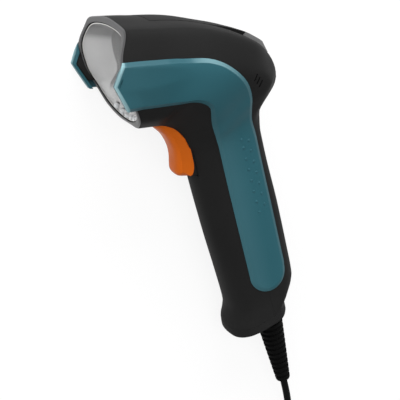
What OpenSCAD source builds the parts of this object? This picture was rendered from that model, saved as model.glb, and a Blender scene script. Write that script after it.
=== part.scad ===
// Handheld barcode scanner with a pistol grip, lying on its right side.
// It is drawn upright around the bend line between head and grip: x runs to the back,
// y up and z to the left side. The last step lays it down on the right pad and the foot.

/* [Head] */
// Distance of the mouth in front of the bend line
head_reach = 20.5; // [18:0.5:26]
// Half width of the dark shell at the mouth
head_half_w = 32.6; // [31:0.2:34]
// Height of the roof over the bend line
roof_rise = 70.2; // [68:0.2:73]
// Height of the underside over the bend line
belly_rise = 19.6; // [19:0.2:20.6]
// Distance of the beak from the bend line
beak_reach = 80; // [78:0.5:82]
// How far the dark shell's side leans in on its way down to the lower corner of the mouth
side_lean = 7.8; // [7:0.1:9]

/* [Grip] */
// Lean of the grip from upright, in degrees
grip_lean = 14.5; // [12:0.5:17]
// Length of the grip from the bend to the seam of the foot
grip_len = 91.5; // [90:0.5:110]
// Distance of the grip's front face from the bend line
grip_front = 18; // [17:0.2:19]
// Distance of the grip's back face from the bend line
grip_back = 59; // [57:0.5:61]
// Half width of the grip
grip_half_w = 16.2; // [15.6:0.2:17]
// Height of the foot below its seam
foot_h = 8.4; // [8:0.2:12]

/* [Shells] */
// Wall of the moulded shells
wall = 2.2; // [1.8:0.1:2.5]
// Gap along the seams between shells
seam = 0.12; // [0.08:0.02:0.2]
// Depth of the recess for the roof inlay
recess = 1.1; // [0.9:0.1:1.3]
// How far the inlay stands out of the roof
inlay_proud = 0.1; // [0:0.1:0.4]

/* [Side pads] */
// How far a pad stands out on the head
pad_proud = 1.8; // [1.4:0.1:2.2]
// How far a pad stands out on the grip
pad_low = 0.9; // [0.6:0.1:1.2]
// Width of the bevel along a pad's edge
pad_bevel = 1.6; // [1:0.1:2]
// How far the wing reaches in front of the mouth
wing_reach = 4.4; // [3.5:0.1:5]
// Depth that the wing's edge is folded in
wing_fold = 3; // [2.6:0.1:3.2]
// How far the wing's tip is flared out
wing_flare = 1.8; // [1.2:0.1:2.2]
// Rows of small bumps on each pad
bump_rows = 8; // [4:1:9]
// Distance between the rows of bumps
bump_pitch = 5.65; // [5:0.05:6]
// Radius of a bump's outline
bump_r = 0.7; // [0.5:0.05:0.9]

/* [Mouth] */
// Width of the bezel's face
bezel_w = 3.2; // [2.9:0.1:3.5]
// Depth of the bezel behind its face
bezel_depth = 4; // [3:0.2:4.2]
// Thickness of the seal around the window
gasket_t = 0.8; // [0.6:0.1:1]
// Thickness of the window pane
window_t = 1.6; // [1.2:0.1:2]
// Wall of the reflector
shroud_wall = 1.2; // [1:0.1:1.5]
// Lens domes along the lower lip
led_count = 6; // [3:1:6]
// Diameter of a lens dome
led_d = 3.6; // [2.6:0.2:4]

/* [Trigger] */
// Width of the trigger
trigger_w = 14.8; // [12:0.2:15.6]
// Clearance beside the trigger in its slot
slot_gap = 0.5; // [0.4:0.05:0.8]
// Diameter of the trigger's pin
pin_d = 2.5; // [2:0.1:3]
// Radial running clearance of the pin and of the plunger
run_gap = 0.04; // [0.03:0.01:0.08]
// Diameter of the switch's plunger
plunger_d = 3.2; // [2.8:0.1:3.6]

/* [Inside] */
// Thickness of the circuit boards
board_t = 1.2; // [1:0.1:1.6]
// Outer diameter of the screw bosses
boss_d = 6.4; // [6:0.2:7.5]
// Thread diameter of the screws
screw_d = 2.4; // [2:0.1:2.8]

/* [Cable] */
// Diameter of the cable
cord_d = 3.8; // [3.4:0.1:4.4]
// Diameter of the strain relief where it leaves the foot
relief_d = 13.4; // [12.6:0.1:13.6]
// Diameter of the strain relief at its tip
relief_tip_d = 7.7; // [7:0.1:8.4]
// Length of the strain relief below the foot
relief_len = 42; // [38:1:48]
// Ribs of the strain relief
relief_ribs = 10; // [6:1:12]

/* [Hidden] */

turn = 90 - grip_lean;
grip_end = turn + grip_len;
foot_end = grip_end + foot_h;
head_mid = 45.5;
grip_mid = 39.2;
wing_top = 54.7;
wing_apex = 45.2;
wing_low = 33.8;
split = 92;
inner_crisp = 10;

// A row for each station along the body: the station, then distances from the bend line and
// half widths of the section's corners, from the outer side round to the inner side, and
// how crisp the corners are. A station is a length in front of the bend line, then an angle
// round it, then a length down the grip past the turn.
hw = head_half_w;
gw = grip_half_w;
stations = [
    [-head_reach - 10, roof_rise + 0.2, roof_rise - 3.2, hw - 6.1, 50.5, hw + 0.2,
        28, hw - side_lean, belly_rise + 1.9, 12, belly_rise, 24],
    [-10, roof_rise, roof_rise - 3.2, hw - 6.1, 50.5, hw + 0.2,
        28, hw - side_lean, belly_rise + 1.9, 12, belly_rise, 24],
    [0, roof_rise - 0.4, roof_rise - 3.4, hw - 6.6, 51.2, hw,
        29.2, hw - side_lean + 0.3, belly_rise + 1.9, 11.5, belly_rise + 0.2, 22],
    [15, roof_rise + 0.6, roof_rise - 1.9, hw - 7.6, 54, hw - 0.8,
        37, hw - side_lean + 4.2, belly_rise + 1.6, 8.5, belly_rise + 0.2, 20],
    [30, roof_rise + 3.6, roof_rise + 1.3, hw - 10.1, 57, hw - 2.2,
        37, hw - side_lean + 2.2, belly_rise + 1.4, 8, belly_rise, 18],
    [40, roof_rise + 6.2, roof_rise + 5, hw - 14.6, 61, hw - 4.2,
        36, hw - side_lean, belly_rise + 1, 8, belly_rise - 0.4, 18],
    [49, beak_reach - 0.6, beak_reach - 1.4, hw - 25.1, 65, hw - 7.6,
        35, hw - side_lean - 2.8, belly_rise + 0.6, 8, belly_rise - 1, 18],
    [52, beak_reach - 1.2, beak_reach - 2, hw - 24.6, 65, hw - 8.6,
        34.5, hw - side_lean - 3.6, belly_rise + 0.4, 8, belly_rise - 1.2, 18],
    [58, beak_reach - 4.2, beak_reach - 5.6, gw - 7.7, 59, gw + 2.8,
        34, gw + 3.4, grip_front + 1.6, 8, grip_front + 0.2, 18],
    [61.5, beak_reach - 8.4, beak_reach - 12.2, gw - 9.7, 54, gw + 1.4,
        33, gw + 1.8, grip_front + 1.4, 8, grip_front, 16],
    [64.5, grip_back + 6.4, grip_back + 3.4, gw - 9.7, 52, gw + 1,
        32, gw + 2, grip_front + 1.2, 8, grip_front - 0.2, 12],
    [68.6, grip_back + 1.8, grip_back + 0.6, gw - 8.7, 50, gw + 1,
        31, gw + 1.4, grip_front + 1.2, 7.5, grip_front - 0.2, 11],
    [turn, grip_back - 0.6, grip_back - 1, gw - 7.7, 49, gw + 0.6,
        30, gw + 0.8, grip_front + 1, 7.5, grip_front - 0.4, 10],
    [turn + 12.5, grip_back - 0.6, grip_back - 0.6, gw - 8.2, 49.2, gw + 0.2,
        29, gw, grip_front + 0.6, 7.5, grip_front - 0.6, 10],
    [turn + 39.5, grip_back + 0.2, grip_back + 0.2, gw - 8.2, 50, gw,
        29, gw - 0.2, grip_front + 0.8, 7.5, grip_front, 10],
    [grip_end - 24, grip_back, grip_back, gw - 8.2, 50, gw,
        29, gw - 0.2, grip_front + 2, 7.5, grip_front + 1.2, 10],
    [grip_end - 12.5, grip_back - 0.4, grip_back - 0.4, gw - 8.2, 49.5, gw,
        28.6, gw, grip_front + 2.4, 7.5, grip_front + 1.6, 10],
    [grip_end - 9, grip_back - 1.6, grip_back - 1.6, gw - 8.2, 48.5, gw,
        28.2, gw, grip_front + 2.2, 7.5, grip_front + 1.4, 10],
    [grip_end - 4, grip_back - 5.6, grip_back - 5.6, gw - 8.7, 46, gw + 0.2,
        27, gw + 0.4, grip_front + 0.6, 8, grip_front - 0.2, 10],
    [grip_end, grip_back - 8.8, grip_back - 8.8, gw - 8.7, 43, gw + 0.4,
        25.6, gw + 0.6, grip_front - 1.2, 8.5, grip_front - 2, 10],
    [foot_end, grip_back - 9.4, grip_back - 9.4, gw - 8.7, 43, gw + 0.2,
        25.6, gw + 0.2, grip_front - 1.6, 8.5, grip_front - 2.4, 10]];

// The mouth's rim seen from the side: height, and how far it lies behind the foremost point
rim = [
    [belly_rise - 1.1, 19.5], [belly_rise + 0.9, 15.2], [belly_rise + 2.9, 12.6],
    [belly_rise + 6.9, 10.3], [30.5, 8.6], [34.5, 6.7], [44.5, 1.8], [wing_top - 0.2, 0],
    [roof_rise - 4.7, 3], [roof_rise - 0.7, 3.6]];
// The wing's leading edge: height, and its place behind the foremost point of the rim
wing = [
    [wing_low - 3, 4.2], [wing_low, 2.2], [wing_apex, -wing_reach], [wing_top, -0.8],
    [wing_top + 3, 0.4]];
// The pad's edges: station, distance of the upper edge and of the lower edge
pad_edges = [
    [-head_reach - 6, wing_top + 0.1, wing_low], [-10, 55.1, 34.2], [5, 55.1, 34.9],
    [12, 55.8, 35.8], [18, 56.8, 37.2], [26, 57.3, 38], [31, 57.1, 37.9], [36, 56.8, 36],
    [41, 56.3, 34], [48, 54.8, 32.4], [56, 51.8, 31.4], [64, 50, 30.9],
    [turn, 50.6, 30.7], [grip_end, 50.4, 30.8]];
// Half width of the roof inlay along its stations
inlay_w = [[-10, 11.6], [20, 11.9], [38, 10.7], [51, 8.2]];
// How much higher the inlay stands on its way to the back
inlay_rise = [[20, 0], [31, 1], [37, 1.9], [43, 1.9], [46, 0.8], [49, 0.1]];

// Values between two rows of a table, without overshoot
function knot(t, x) = max([for (k = [0:len(t) - 1]) if (t[k][0] <= x) k]);
function tangent(t, k, c) =
    k == 0 || k == len(t) - 1 ? 0 :
    let (h0 = t[k][0] - t[k - 1][0], h1 = t[k + 1][0] - t[k][0],
        d0 = (t[k][c] - t[k - 1][c]) / h0, d1 = (t[k + 1][c] - t[k][c]) / h1)
    d0 * d1 <= 0 ? 0 : 3 * (h0 + h1) / ((2 * h1 + h0) / d0 + (h1 + 2 * h0) / d1);
function smooth(t, x, c = 1) =
    x <= t[0][0] ? t[0][c] : x >= t[len(t) - 1][0] ? t[len(t) - 1][c] :
    let (k = knot(t, x), h = t[k + 1][0] - t[k][0], s = (x - t[k][0]) / h)
    t[k][c] * (1 + 2 * s) * pow(1 - s, 2) + tangent(t, k, c) * h * s * pow(1 - s, 2)
        + t[k + 1][c] * s * s * (3 - 2 * s) + tangent(t, k + 1, c) * h * s * s * (s - 1);

// The line of the body: its outward direction, the foot of a section and its middle
function outward(u) =
    u <= 0 ? [0, 1] : u < turn ? [sin(u), cos(u)] : [cos(grip_lean), sin(grip_lean)];
function base(u) =
    u <= 0 ? [u, 0] : u <= turn ? [0, 0] : (u - turn) * [sin(grip_lean), -cos(grip_lean)];
function middle(u) = head_mid + (grip_mid - head_mid) * min(1, max(0, u / turn));

// A section is a list of facets (direction outward, direction sideways, distance) whose
// corners are blended by a power
function facets(u) =
    let (m = middle(u), c = [for (k = [1:10]) smooth(stations, u, k)],
        pts = [[c[0] - m, 0], [c[1] - m, c[2]], [c[3] - m, c[4]], [c[5] - m, c[6]],
            [c[7] - m, c[8]], [c[9] - m, 0]])
    [for (i = [0:4]) let (d = pts[i + 1] - pts[i], n = [d[1], -d[0]] / norm(d))
        [n[0], n[1], n * pts[i]]];
function crisp(u) = smooth(stations, u, 11);
function section(u) = [facets(u), crisp(u), middle(u), base(u), outward(u)];
function total(v) = v * [for (x = v) 1];
function term(f, v, w, off, p) = pow(max(0, f[0] * v + f[1] * w) / (f[2] + off), p);
function level(s, v, w, off) =
    total([for (i = [0:4]) term(s[0][i], v, w, off, s[1])])
        + term(s[0][0], v, -w, off, s[1]) + term(s[0][4], v, -w, off, s[1]);
function radius(s, a, off) = pow(level(s, cos(a), abs(sin(a)), off), -1 / s[1]);
function set_at(s, v, w) = let (q = s[3] + (s[2] + v) * s[4]) [q[0], q[1], w];
function skin(s, a, off) = let (r = radius(s, a, off)) set_at(s, r * cos(a), r * sin(a));
function half_w(s, v, off, lo = 0, hi = 60, n = 18) =
    n == 0 ? (lo + hi) / 2 :
    let (w = (lo + hi) / 2)
    level(s, v, w, off) < 1 ? half_w(s, v, off, w, hi, n - 1) : half_w(s, v, off, lo, w, n - 1);
function side_pt(s, v, off) = set_at(s, v - s[2], half_w(s, v - s[2], off));

// Angles round a section that follow its corners
function corners(u) = let (m = middle(u)) [for (k = [2:2:8])
    atan2(smooth(stations, u, k + 1), smooth(stations, u, k) - m)];
function upper(u) = let (c = corners(u))
    [c[0] / 2, c[0] - 3, c[0], c[0] + 3, (c[0] + c[1]) / 2, c[1] - 4, c[1], c[1] + 4];
function lower(u) = let (c = corners(u))
    [c[2] - 4, c[2], c[2] + 4, (2 * c[2] + c[3]) / 3, (c[2] + 2 * c[3]) / 3, c[3] - 4, c[3],
        c[3] + 5, (c[3] + 185) / 2];
function backwards(v, turned) = [for (i = [len(v) - 1:-1:0]) turned - v[i]];
function rear_angles(u) =
    let (h = concat(upper(u), [(corners(u)[1] + 4 + split) / 2, split]))
    concat(backwards(h, 0), [0], h);
function front_angles(u) =
    let (h = concat([split + 0.3, (split + corners(u)[2] - 4) / 2], lower(u)))
    concat(h, [180], backwards(h, 360));
function ring_angles(u) =
    let (h = concat(upper(u), [(corners(u)[1] + 4 + split) / 2, split, (split + corners(u)[2] - 4) / 2],
        lower(u)))
    concat([0], h, [180], backwards(h, 360));

// Sections in the head are cut straight across, also past the bend line
function head_section(x) = [facets(min(x, 0)), crisp(min(x, 0)), head_mid, [x, 0], [0, 1]];
head_cut = head_section(-10);
function rim_x(y) = smooth(rim, y) - head_reach;
function wing_x(y) = lookup(y, wing) - head_reach;
// Inside the rim the corners grow rounder
function round_section(x, off) =
    let (s = head_section(x))
    [s[0], s[1] + (inner_crisp - s[1]) * min(1, -off / bezel_w), s[2], s[3], s[4]];
function mouth_pt(a, off, lead) =
    let (y = skin(round_section(-10, off), a, off)[1])
    skin(round_section(rim_x(y) + lead, off), a, off);
function shell_pt(f, a, off) =
    skin(head_section(min(-0.6, rim_x(skin(head_cut, a, off)[1])) * (1 - f)), a, off);

// Solids from grids of points: a curved plate, a closed band and a capped tube
function flat(g) = [for (r = g) each r];
function quad(a, b, c, d) = [[a, c, b], [a, d, c]];
module plate(outer, inner) {
    m = len(outer);
    n = len(outer[0]);
    k = m * n;
    polyhedron(points = concat(flat(outer), flat(inner)), faces = concat(
        [for (i = [0:m - 2], j = [0:n - 2])
            each quad(i * n + j, i * n + j + 1, i * n + n + j + 1, i * n + n + j)],
        [for (i = [0:m - 2], j = [0:n - 2])
            each quad(k + i * n + j, k + i * n + n + j, k + i * n + n + j + 1, k + i * n + j + 1)],
        [for (i = [0:m - 2]) each quad(i * n, i * n + n, k + i * n + n, k + i * n)],
        [for (i = [1:m - 1]) each quad(i * n + n - 1, i * n - 1, k + i * n - 1, k + i * n + n - 1)],
        [for (j = [0:n - 2]) each quad(j, k + j, k + j + 1, j + 1)],
        [for (j = [0:n - 2]) each quad(k - n + j, k - n + j + 1, 2 * k - n + j + 1, 2 * k - n + j)]));
}
module band(profiles) {
    m = len(profiles);
    n = len(profiles[0]);
    polyhedron(points = flat(profiles), faces = [for (i = [0:m - 1], j = [0:n - 1])
        each quad(i * n + j, i * n + (j + 1) % n, ((i + 1) % m) * n + (j + 1) % n, ((i + 1) % m) * n + j)]);
}
module loft(rings) {
    m = len(rings);
    n = len(rings[0]);
    polyhedron(points = flat(rings), faces = concat(
        [for (i = [0:m - 2], j = [0:n - 1])
            each quad(i * n + j, i * n + (j + 1) % n, i * n + n + (j + 1) % n, i * n + n + j)],
        [for (j = [1:n - 2]) [0, j, j + 1]],
        [for (j = [1:n - 2]) [m * n - n, m * n - n + j + 1, m * n - n + j]]));
}
module tube(path, d, n) {
    loft([for (i = [0:len(path) - 1])
        let (t = path[min(len(path) - 1, i + 1)] - path[max(0, i - 1)],
            a = cross(t, abs(t[2]) < 0.8 * norm(t) ? [0, 0, 1] : [1, 0, 0]),
            b = a / norm(a), c = cross(t / norm(t), b))
        [for (k = [0:n - 1]) path[i] + d / 2 * (b * cos(360 * k / n) + c * sin(360 * k / n))]]);
}
module box_of(x0, x1, y0, y1, half_z) {
    translate([x0, y0, -half_z]) cube([x1 - x0, y1 - y0, 2 * half_z]);
}
module on_both_sides() {
    children();
    mirror([0, 0, 1]) children();
}

// Laying it down: the rest plane touches the right pad and the side of the foot
face_y = 45;
face_half_w = half_w(head_cut, face_y - head_mid, pad_proud) - 0.25;
foot_section = section(grip_end + 3);
foot_v = 27;
foot_half_w = half_w(foot_section, foot_v - foot_section[2], 0);
foot_y = set_at(foot_section, foot_v - foot_section[2], 0)[1];
tilt = atan((face_half_w - foot_half_w) / (face_y - foot_y));
rest_h = face_half_w * cos(tilt) - face_y * sin(tilt);

// Along the grip: lengths past the turn, and distances from the bend line
cap_from = grip_len + seam;
cap_to = grip_len + foot_h;
relief_v = 41.6;
relief_to = cap_to + relief_len;
board_v = 47;
board_from = 5;
board_to = grip_len - 9;
board_half_w = 11;
screw_at = [24, grip_len - 25.5];
jack_from = grip_len - 15;
jack_to = grip_len - 1.5;
plug_to = jack_to + 0.6;
relief_from = plug_to + 0.1;
flange_from = cap_to - wall - 2.2;
relief_tip = relief_to * [sin(grip_lean), -cos(grip_lean)]
    + relief_v * [cos(grip_lean), sin(grip_lean)];

// The row frame stands under the middle of the scanner
origin_x = (relief_tip[0] + relief_tip_d / 2 - head_reach - wing_reach) / 2;
origin_y = ((roof_rise + inlay_proud) * cos(tilt) + relief_tip[1] * cos(tilt)
    - relief_tip_d / 2 * sin(grip_lean)) / 2;
module laid() {
    translate([-origin_x, -origin_y, rest_h]) rotate([tilt, 0, 0]) children();
}
// A frame on the grip: x away from the bend line, y up the grip and z to the left
module on_grip(s, v) {
    rotate([0, 0, grip_lean]) translate([v, -s, 0]) children();
}
module across_grip(s, v0, v1, d) {
    on_grip(s, v0) rotate([0, 90, 0]) cylinder(d = d, h = v1 - v0, $fn = 40);
}

// Housing
head_steps = [0, 0.3, 0.6];
body_steps = [0, 7, 14, 21, 28, 33.5, 39, 44, 49, 52, 55, 58, 61.5, 64.5, 68.6, turn,
    turn + 12, turn + 26, turn + 42, grip_end - 34, grip_end - 24, grip_end - 15,
    grip_end - 9, grip_end - 4, grip_end];
inlay_from = -1.6;
inlay_to = 50.2;
pipe_from = 36;
pipe_to = 48.6;
inlay_steps = [3, 8, 13, 18, 23, 28, 32, pipe_from, 39.5, 43, 46, pipe_to];
speaker_slots = 3;
speaker_pitch = 1.9;
speaker_at = [41.6, 41.4];
speaker_reach = 15.6;
speaker_slot_w = 0.9;
speaker_slot_len = 4.6;
screw_sink = 3.4;
screw_seat = grip_back - screw_sink + 0.02;
screw_head_d = 4.6;
screw_head_h = 1.8;
screw_grip = 12;
thread_gap = 0.02;
bracket_x = 16.4;
bracket_y = 55.8;
bracket_z = 17;
bracket_t = 1.3;
engine_screw_len = 6.6;
roof_boss_top = 66;
pivot = [6, 27];
hub_r = 2.8;
boss_r = 3;
pin_half_len = 11;
slot_half_w = trigger_w / 2 + slot_gap;
slot_front = 1.2;
slot_back = 25.4;
slot_low = -5.7;
switch_from = 25.9;
switch_to = 31.9;
switch_y = 15.5;
switch_half_w = 3;
switch_board_x = switch_to + 0.1;
switch_board_half_w = 9;
switch_board_low = 5.5;
switch_board_top = 24;
rib_wall = 1.4;
rib_h = 11;
rib_z = 7.6;

function shell_rows(angles, off) = concat(
    [for (f = head_steps) [for (a = angles(0)) shell_pt(f, a, off)]],
    [for (u = body_steps) let (s = section(u)) [for (a = angles(u)) skin(s, a, off)]]);
function inlay_angle(u) = atan(smooth(inlay_w, u) / (smooth(stations, u, 1) - middle(u)));
module inlay(from, to, out, in, side) {
    rows = concat([from], [for (u = inlay_steps) if (u > from + 0.5 && u < to - 0.5) u], [to]);
    steps = [-1, -0.6, -0.2, 0.2, 0.6, 1];
    plate([for (u = rows) let (s = section(u), a = inlay_angle(u) - side)
            [for (k = steps) skin(s, k * a, out + smooth(inlay_rise, u))]],
        [for (u = rows) let (s = section(u), a = inlay_angle(u) - side)
            [for (k = steps) skin(s, k * a, in)]]);
}
module speaker_cuts() {
    for (k = [0:speaker_slots - 1])
        translate([speaker_at[0] + speaker_pitch * k, speaker_at[1] - speaker_pitch * k,
            head_half_w - speaker_reach]) rotate([0, 0, -22])
            cube([speaker_slot_w, speaker_slot_len, speaker_reach]);
}
module roof_boss(d, y0, y1) {
    on_both_sides() translate([bracket_x, y0, bracket_z]) rotate([-90, 0, 0])
        cylinder(d = d, h = y1 - y0, $fn = 40);
}
module rear_housing() {
    color([0.17, 0.17, 0.17]) difference() {
        union() {
            plate(shell_rows(function (u) rear_angles(u), 0),
                shell_rows(function (u) rear_angles(u), -wall));
            for (s = screw_at) across_grip(s, board_v + board_t + 0.1, grip_back - 1, boss_d);
            roof_boss(boss_d - 0.4, bracket_y + bracket_t + 0.05, roof_boss_top);
        }
        inlay(inlay_from, inlay_to, 3, -recess, 0);
        for (s = screw_at) {
            across_grip(s, board_v, grip_back + 3, screw_d + 0.4);
            across_grip(s, grip_back - screw_sink, grip_back + 3, screw_head_d + 0.4);
        }
        on_both_sides() speaker_cuts();
        roof_boss(screw_d + 2 * thread_gap, bracket_y, bracket_y + engine_screw_len + 0.6);
    }
}
module trigger_slot() {
    box_of(slot_front, slot_back, slot_low, pivot[1] + 4, slot_half_w);
}
module board_rib() {
    difference() {
        translate([switch_board_x - rib_wall, switch_board_low + 0.5, rib_z])
            cube([board_t + 2 * rib_wall, rib_h, gw - rib_z]);
        translate([switch_board_x - 0.05, switch_board_low - 1, 0])
            cube([board_t + 0.1, rib_h + 3, switch_board_half_w + 0.1]);
    }
}
module front_housing() {
    color([0.16, 0.16, 0.16]) difference() {
        union() {
            difference() {
                plate(shell_rows(function (u) front_angles(u), 0),
                    shell_rows(function (u) front_angles(u), -wall));
                trigger_slot();
            }
            for (s = screw_at) across_grip(s, grip_front + 2.6, board_v - 0.1, boss_d);
            on_both_sides() {
                translate([pivot[0], pivot[1], slot_half_w]) cylinder(r = boss_r, h = 4.6, $fn = 48);
                board_rib();
            }
        }
        translate([pivot[0], pivot[1], -pin_half_len - 0.1])
            cylinder(d = pin_d + 2 * run_gap, h = 2 * pin_half_len + 0.2, $fn = 48);
        for (s = screw_at) across_grip(s, board_v - screw_grip, board_v, screw_d + 2 * thread_gap);
    }
}

// Side pads: rows run from the folded leading edge of the wing to the round lower end
pad_gap = 0.28;
pad_edge_h = 0.3;
pad_round_v = 40.4;
pad_round_r = 9.7;
pad_round_u = grip_end - 23.5;
pad_width = 20;
apex_k = (wing_top - wing_apex) / (wing_top - wing_low);
flare_len = 9;
pad_across = [0, pad_bevel / pad_width, 0.26, apex_k, 0.7, 1 - pad_bevel / pad_width, 1];
pad_steps = [0, 7, 14, 21, 28, 33.5, 39, 44, 49, 55, 61.5, 68.6, turn, turn + 12, turn + 42,
    pad_round_u - 10];
pad_turns = [0, 22, 42, 58, 70, 78, 84];
bump_h = 0.35;
bump_sink = 0.3;
function pad_v(u, k) = smooth(pad_edges, u, 1) * (1 - k) + smooth(pad_edges, u, 2) * k;
function lift(u) = pad_proud + (pad_low - pad_proud) * min(1, max(0, (u - 30) / 32));
function inside_edge(k) = k > 0 && k < 1;
function flare(k, lead) = wing_flare * min(1, k / apex_k) * max(0, 1 - lead / flare_len);
function wing_pt(k, lead, off) =
    let (v = pad_v(-head_reach, k))
    side_pt(head_section(wing_x(v) + lead), v, off + flare(k, lead));
function fold_at(k) =
    let (v = pad_v(-head_reach, k)) min(1, max(0, (rim_x(v) - 0.95 - wing_x(v)) / 1.8));
function fold_pt(k, lead, more, depth) =
    let (f = fold_at(k)) wing_pt(k, lead + more * f, pad_gap * (1 - f) - depth * f);
function head_row(f, off, low) = [for (k = pad_across)
    let (x = (rim_x(pad_v(-head_reach, k)) + 1.2) * (1 - f))
    side_pt(head_section(x), pad_v(x, k), inside_edge(k) ? off : low)];
function body_row(u, off, low) = let (s = section(u))
    [for (k = pad_across) side_pt(s, pad_v(u, k), inside_edge(k) ? off : low)];
function end_row(q, off, low) =
    let (u = pad_round_u + pad_round_r * sin(q), s = section(u))
    [for (k = pad_across)
        let (v = pad_round_v + pad_round_r * cos(q) * (1 - 2 * k),
            e = pad_round_r - norm([u - pad_round_u, v - pad_round_v]))
        side_pt(s, v, low + (off - low) * min(1, max(0, e / pad_bevel)))];
function pad_rows(off, low) = concat(
    [for (f = [0.15, 0.45, 0.75]) head_row(f, off(0), low)],
    [for (u = pad_steps) body_row(u, off(u), low)],
    [for (q = pad_turns) end_row(q, off(grip_end), low)]);
module pad_plate() {
    top = pad_proud;
    plate(concat(
            [[for (k = pad_across) wing_pt(k, 0, inside_edge(k) ? top - 0.5 : pad_edge_h)]],
            [for (lead = [0.5, 1.4, 2.2])
                [for (k = pad_across) wing_pt(k, lead, inside_edge(k) ? top : pad_edge_h)]],
            pad_rows(function (u) lift(u), pad_edge_h)),
        concat(
            [[for (k = pad_across) fold_pt(k, 0.1, 0.1, wing_fold)],
                [for (k = pad_across) fold_pt(k, 0.25, 1.35, wing_fold + 0.6)],
                [for (k = pad_across) wing_pt(k, 0.4 + 1.4 * fold_at(k), pad_gap)],
                [for (k = pad_across) wing_pt(k, 2.4, pad_gap)]],
            pad_rows(function (u) pad_gap, pad_gap)));
}
module bump(s, v) {
    translate(side_pt(section(turn + s), v, pad_low - bump_sink))
        cylinder(r = bump_r, h = bump_h + bump_sink, $fn = 16);
}
module side_pad() {
    difference() {
        union() {
            pad_plate();
            for (k = [0:bump_rows - 1]) {
                bump(bump_pitch * k - 4.7, 41.8 + 0.13 * k);
                if (k < bump_rows - 1) bump(bump_pitch * k - 2, 45.3 + 0.16 * k);
            }
        }
        mirror([0, 0, 1]) rotate([-tilt, 0, 0]) translate([-60, -160, -rest_h - 30])
            cube([160, 260, 30]);
    }
}
module left_side_pad() {
    color([0.18, 0.35, 0.38]) side_pad();
}
module right_side_pad() {
    color([0.18, 0.35, 0.38]) mirror([0, 0, 1]) side_pad();
}

// Mouth: each profile is a list of places behind the rim and depths below the surface
bezel_gap = 0.2;
seal_lead = 0.3;
seal_in = bezel_w + 0.1;
pane_lead = 1;
collar_in = bezel_w + 0.3;
shroud_lead = pane_lead + window_t + 0.1;
shroud_in = collar_in + shroud_wall;
core_k = [0.81, apex_k, 0.17];
core_lead = 1.95;
engine_x = 13.65;
engine_len = 15.85;
engine_y = 48.5;
engine_half_h = 8;
engine_half_w = 12;
port_half_h = 7;
port_half_w = 10;
module rim_band(profile) {
    angles = ring_angles(-10);
    band([for (q = profile) [for (a = angles) mouth_pt(a, -q[1], q[0])]]);
}
module wing_core() {
    function core_row(off) = [for (k = core_k) let (v = pad_v(-head_reach, k))
        [wing_pt(k, core_lead, off), side_pt(head_section(rim_x(v) - 0.1), v, off - 0.2)]];
    plate(core_row(-0.3), core_row(0.3 - bezel_w));
}
module nose_frame() {
    color([0.3, 0.3, 0.3]) union() {
        rim_band([[-bezel_gap, wall + 0.2], [bezel_depth, wall + 0.2],
            [bezel_depth, bezel_w + 0.15], [-0.6, bezel_w], [-0.8, 0.4], [-bezel_gap, 0],
            [-bezel_gap, wall]]);
        on_both_sides() wing_core();
    }
}
module window_gasket() {
    color([0.04, 0.04, 0.04]) rim_band([[seal_lead, seal_in], [pane_lead - 0.05, seal_in],
        [pane_lead - 0.05, seal_in + gasket_t], [seal_lead, seal_in + gasket_t]]);
}
module scan_window() {
    angles = [for (a = ring_angles(-10)) if (a > 3 && a < 177) a];
    color([0.85, 0.9, 0.92, 0.4])
        plate([for (a = angles) let (p = mouth_pt(a, -shroud_in - 0.05, pane_lead))
                [p, [p[0], p[1], -p[2]]]],
            [for (a = angles) let (p = mouth_pt(a, -shroud_in - 0.05, pane_lead))
                [[p[0] + window_t, p[1], p[2]], [p[0] + window_t, p[1], -p[2]]]]);
}
function port_pt(a, grow) =
    let (p = 12, r = pow(pow(abs(cos(a)) / (port_half_h + grow), p)
        + pow(abs(sin(a)) / (port_half_w + grow), p), -1 / p))
    [engine_x - 0.15, engine_y + r * cos(a), r * sin(a)];
function funnel_pt(t, a, grow) =
    (1 - t) * mouth_pt(a, grow - shroud_in, shroud_lead) + t * port_pt(a, grow);
led_t = 0.17;
led_step = 19;
led_h = 1.4;
function led_angle(i) = 180 + led_step * (i - (led_count - 1) / 2);
module at_led(i) {
    p = funnel_pt(led_t, led_angle(i), 0);
    d = p - funnel_pt(led_t, led_angle(i), 1);
    translate(p) rotate([0, acos(d[2] / norm(d)), atan2(d[1], d[0])]) children();
}
module light_shroud() {
    angles = ring_angles(-10);
    color([0.8, 0.8, 0.8]) difference() {
        band(concat(
            [[for (a = angles) mouth_pt(a, -collar_in, pane_lead)]],
            [for (q = [[0, shroud_wall], [0.5, shroud_wall], [1, shroud_wall], [1, 0], [0.5, 0],
                [0, 0]]) [for (a = angles) funnel_pt(q[0], a, q[1])]],
            [[for (a = angles) mouth_pt(a, -shroud_in, pane_lead)]]));
        for (i = [0:led_count - 1]) at_led(i) translate([0, 0, -3])
            cylinder(d = led_d + 0.2, h = 6, $fn = 24);
    }
}
module illumination_leds() {
    color([0.9, 0.92, 0.95, 0.6]) for (i = [0:led_count - 1]) at_led(i) {
        translate([0, 0, -led_h]) cylinder(d = led_d, h = led_h, $fn = 24);
        intersection() {
            sphere(d = led_d, $fn = 24);
            cylinder(d = 2 * led_d, h = led_d, $fn = 24);
        }
    }
}
module led_board() {
    angles = [for (k = [0:10]) 180 - 58 + 11.6 * k];
    color([0.1, 0.3, 0.15])
        plate([for (t = [0.1, 0.18, 0.27]) [for (a = angles) funnel_pt(t, a, led_h + 0.5 + board_t)]],
            [for (t = [0.1, 0.18, 0.27]) [for (a = angles) funnel_pt(t, a, led_h + 0.5)]]);
}

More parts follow.
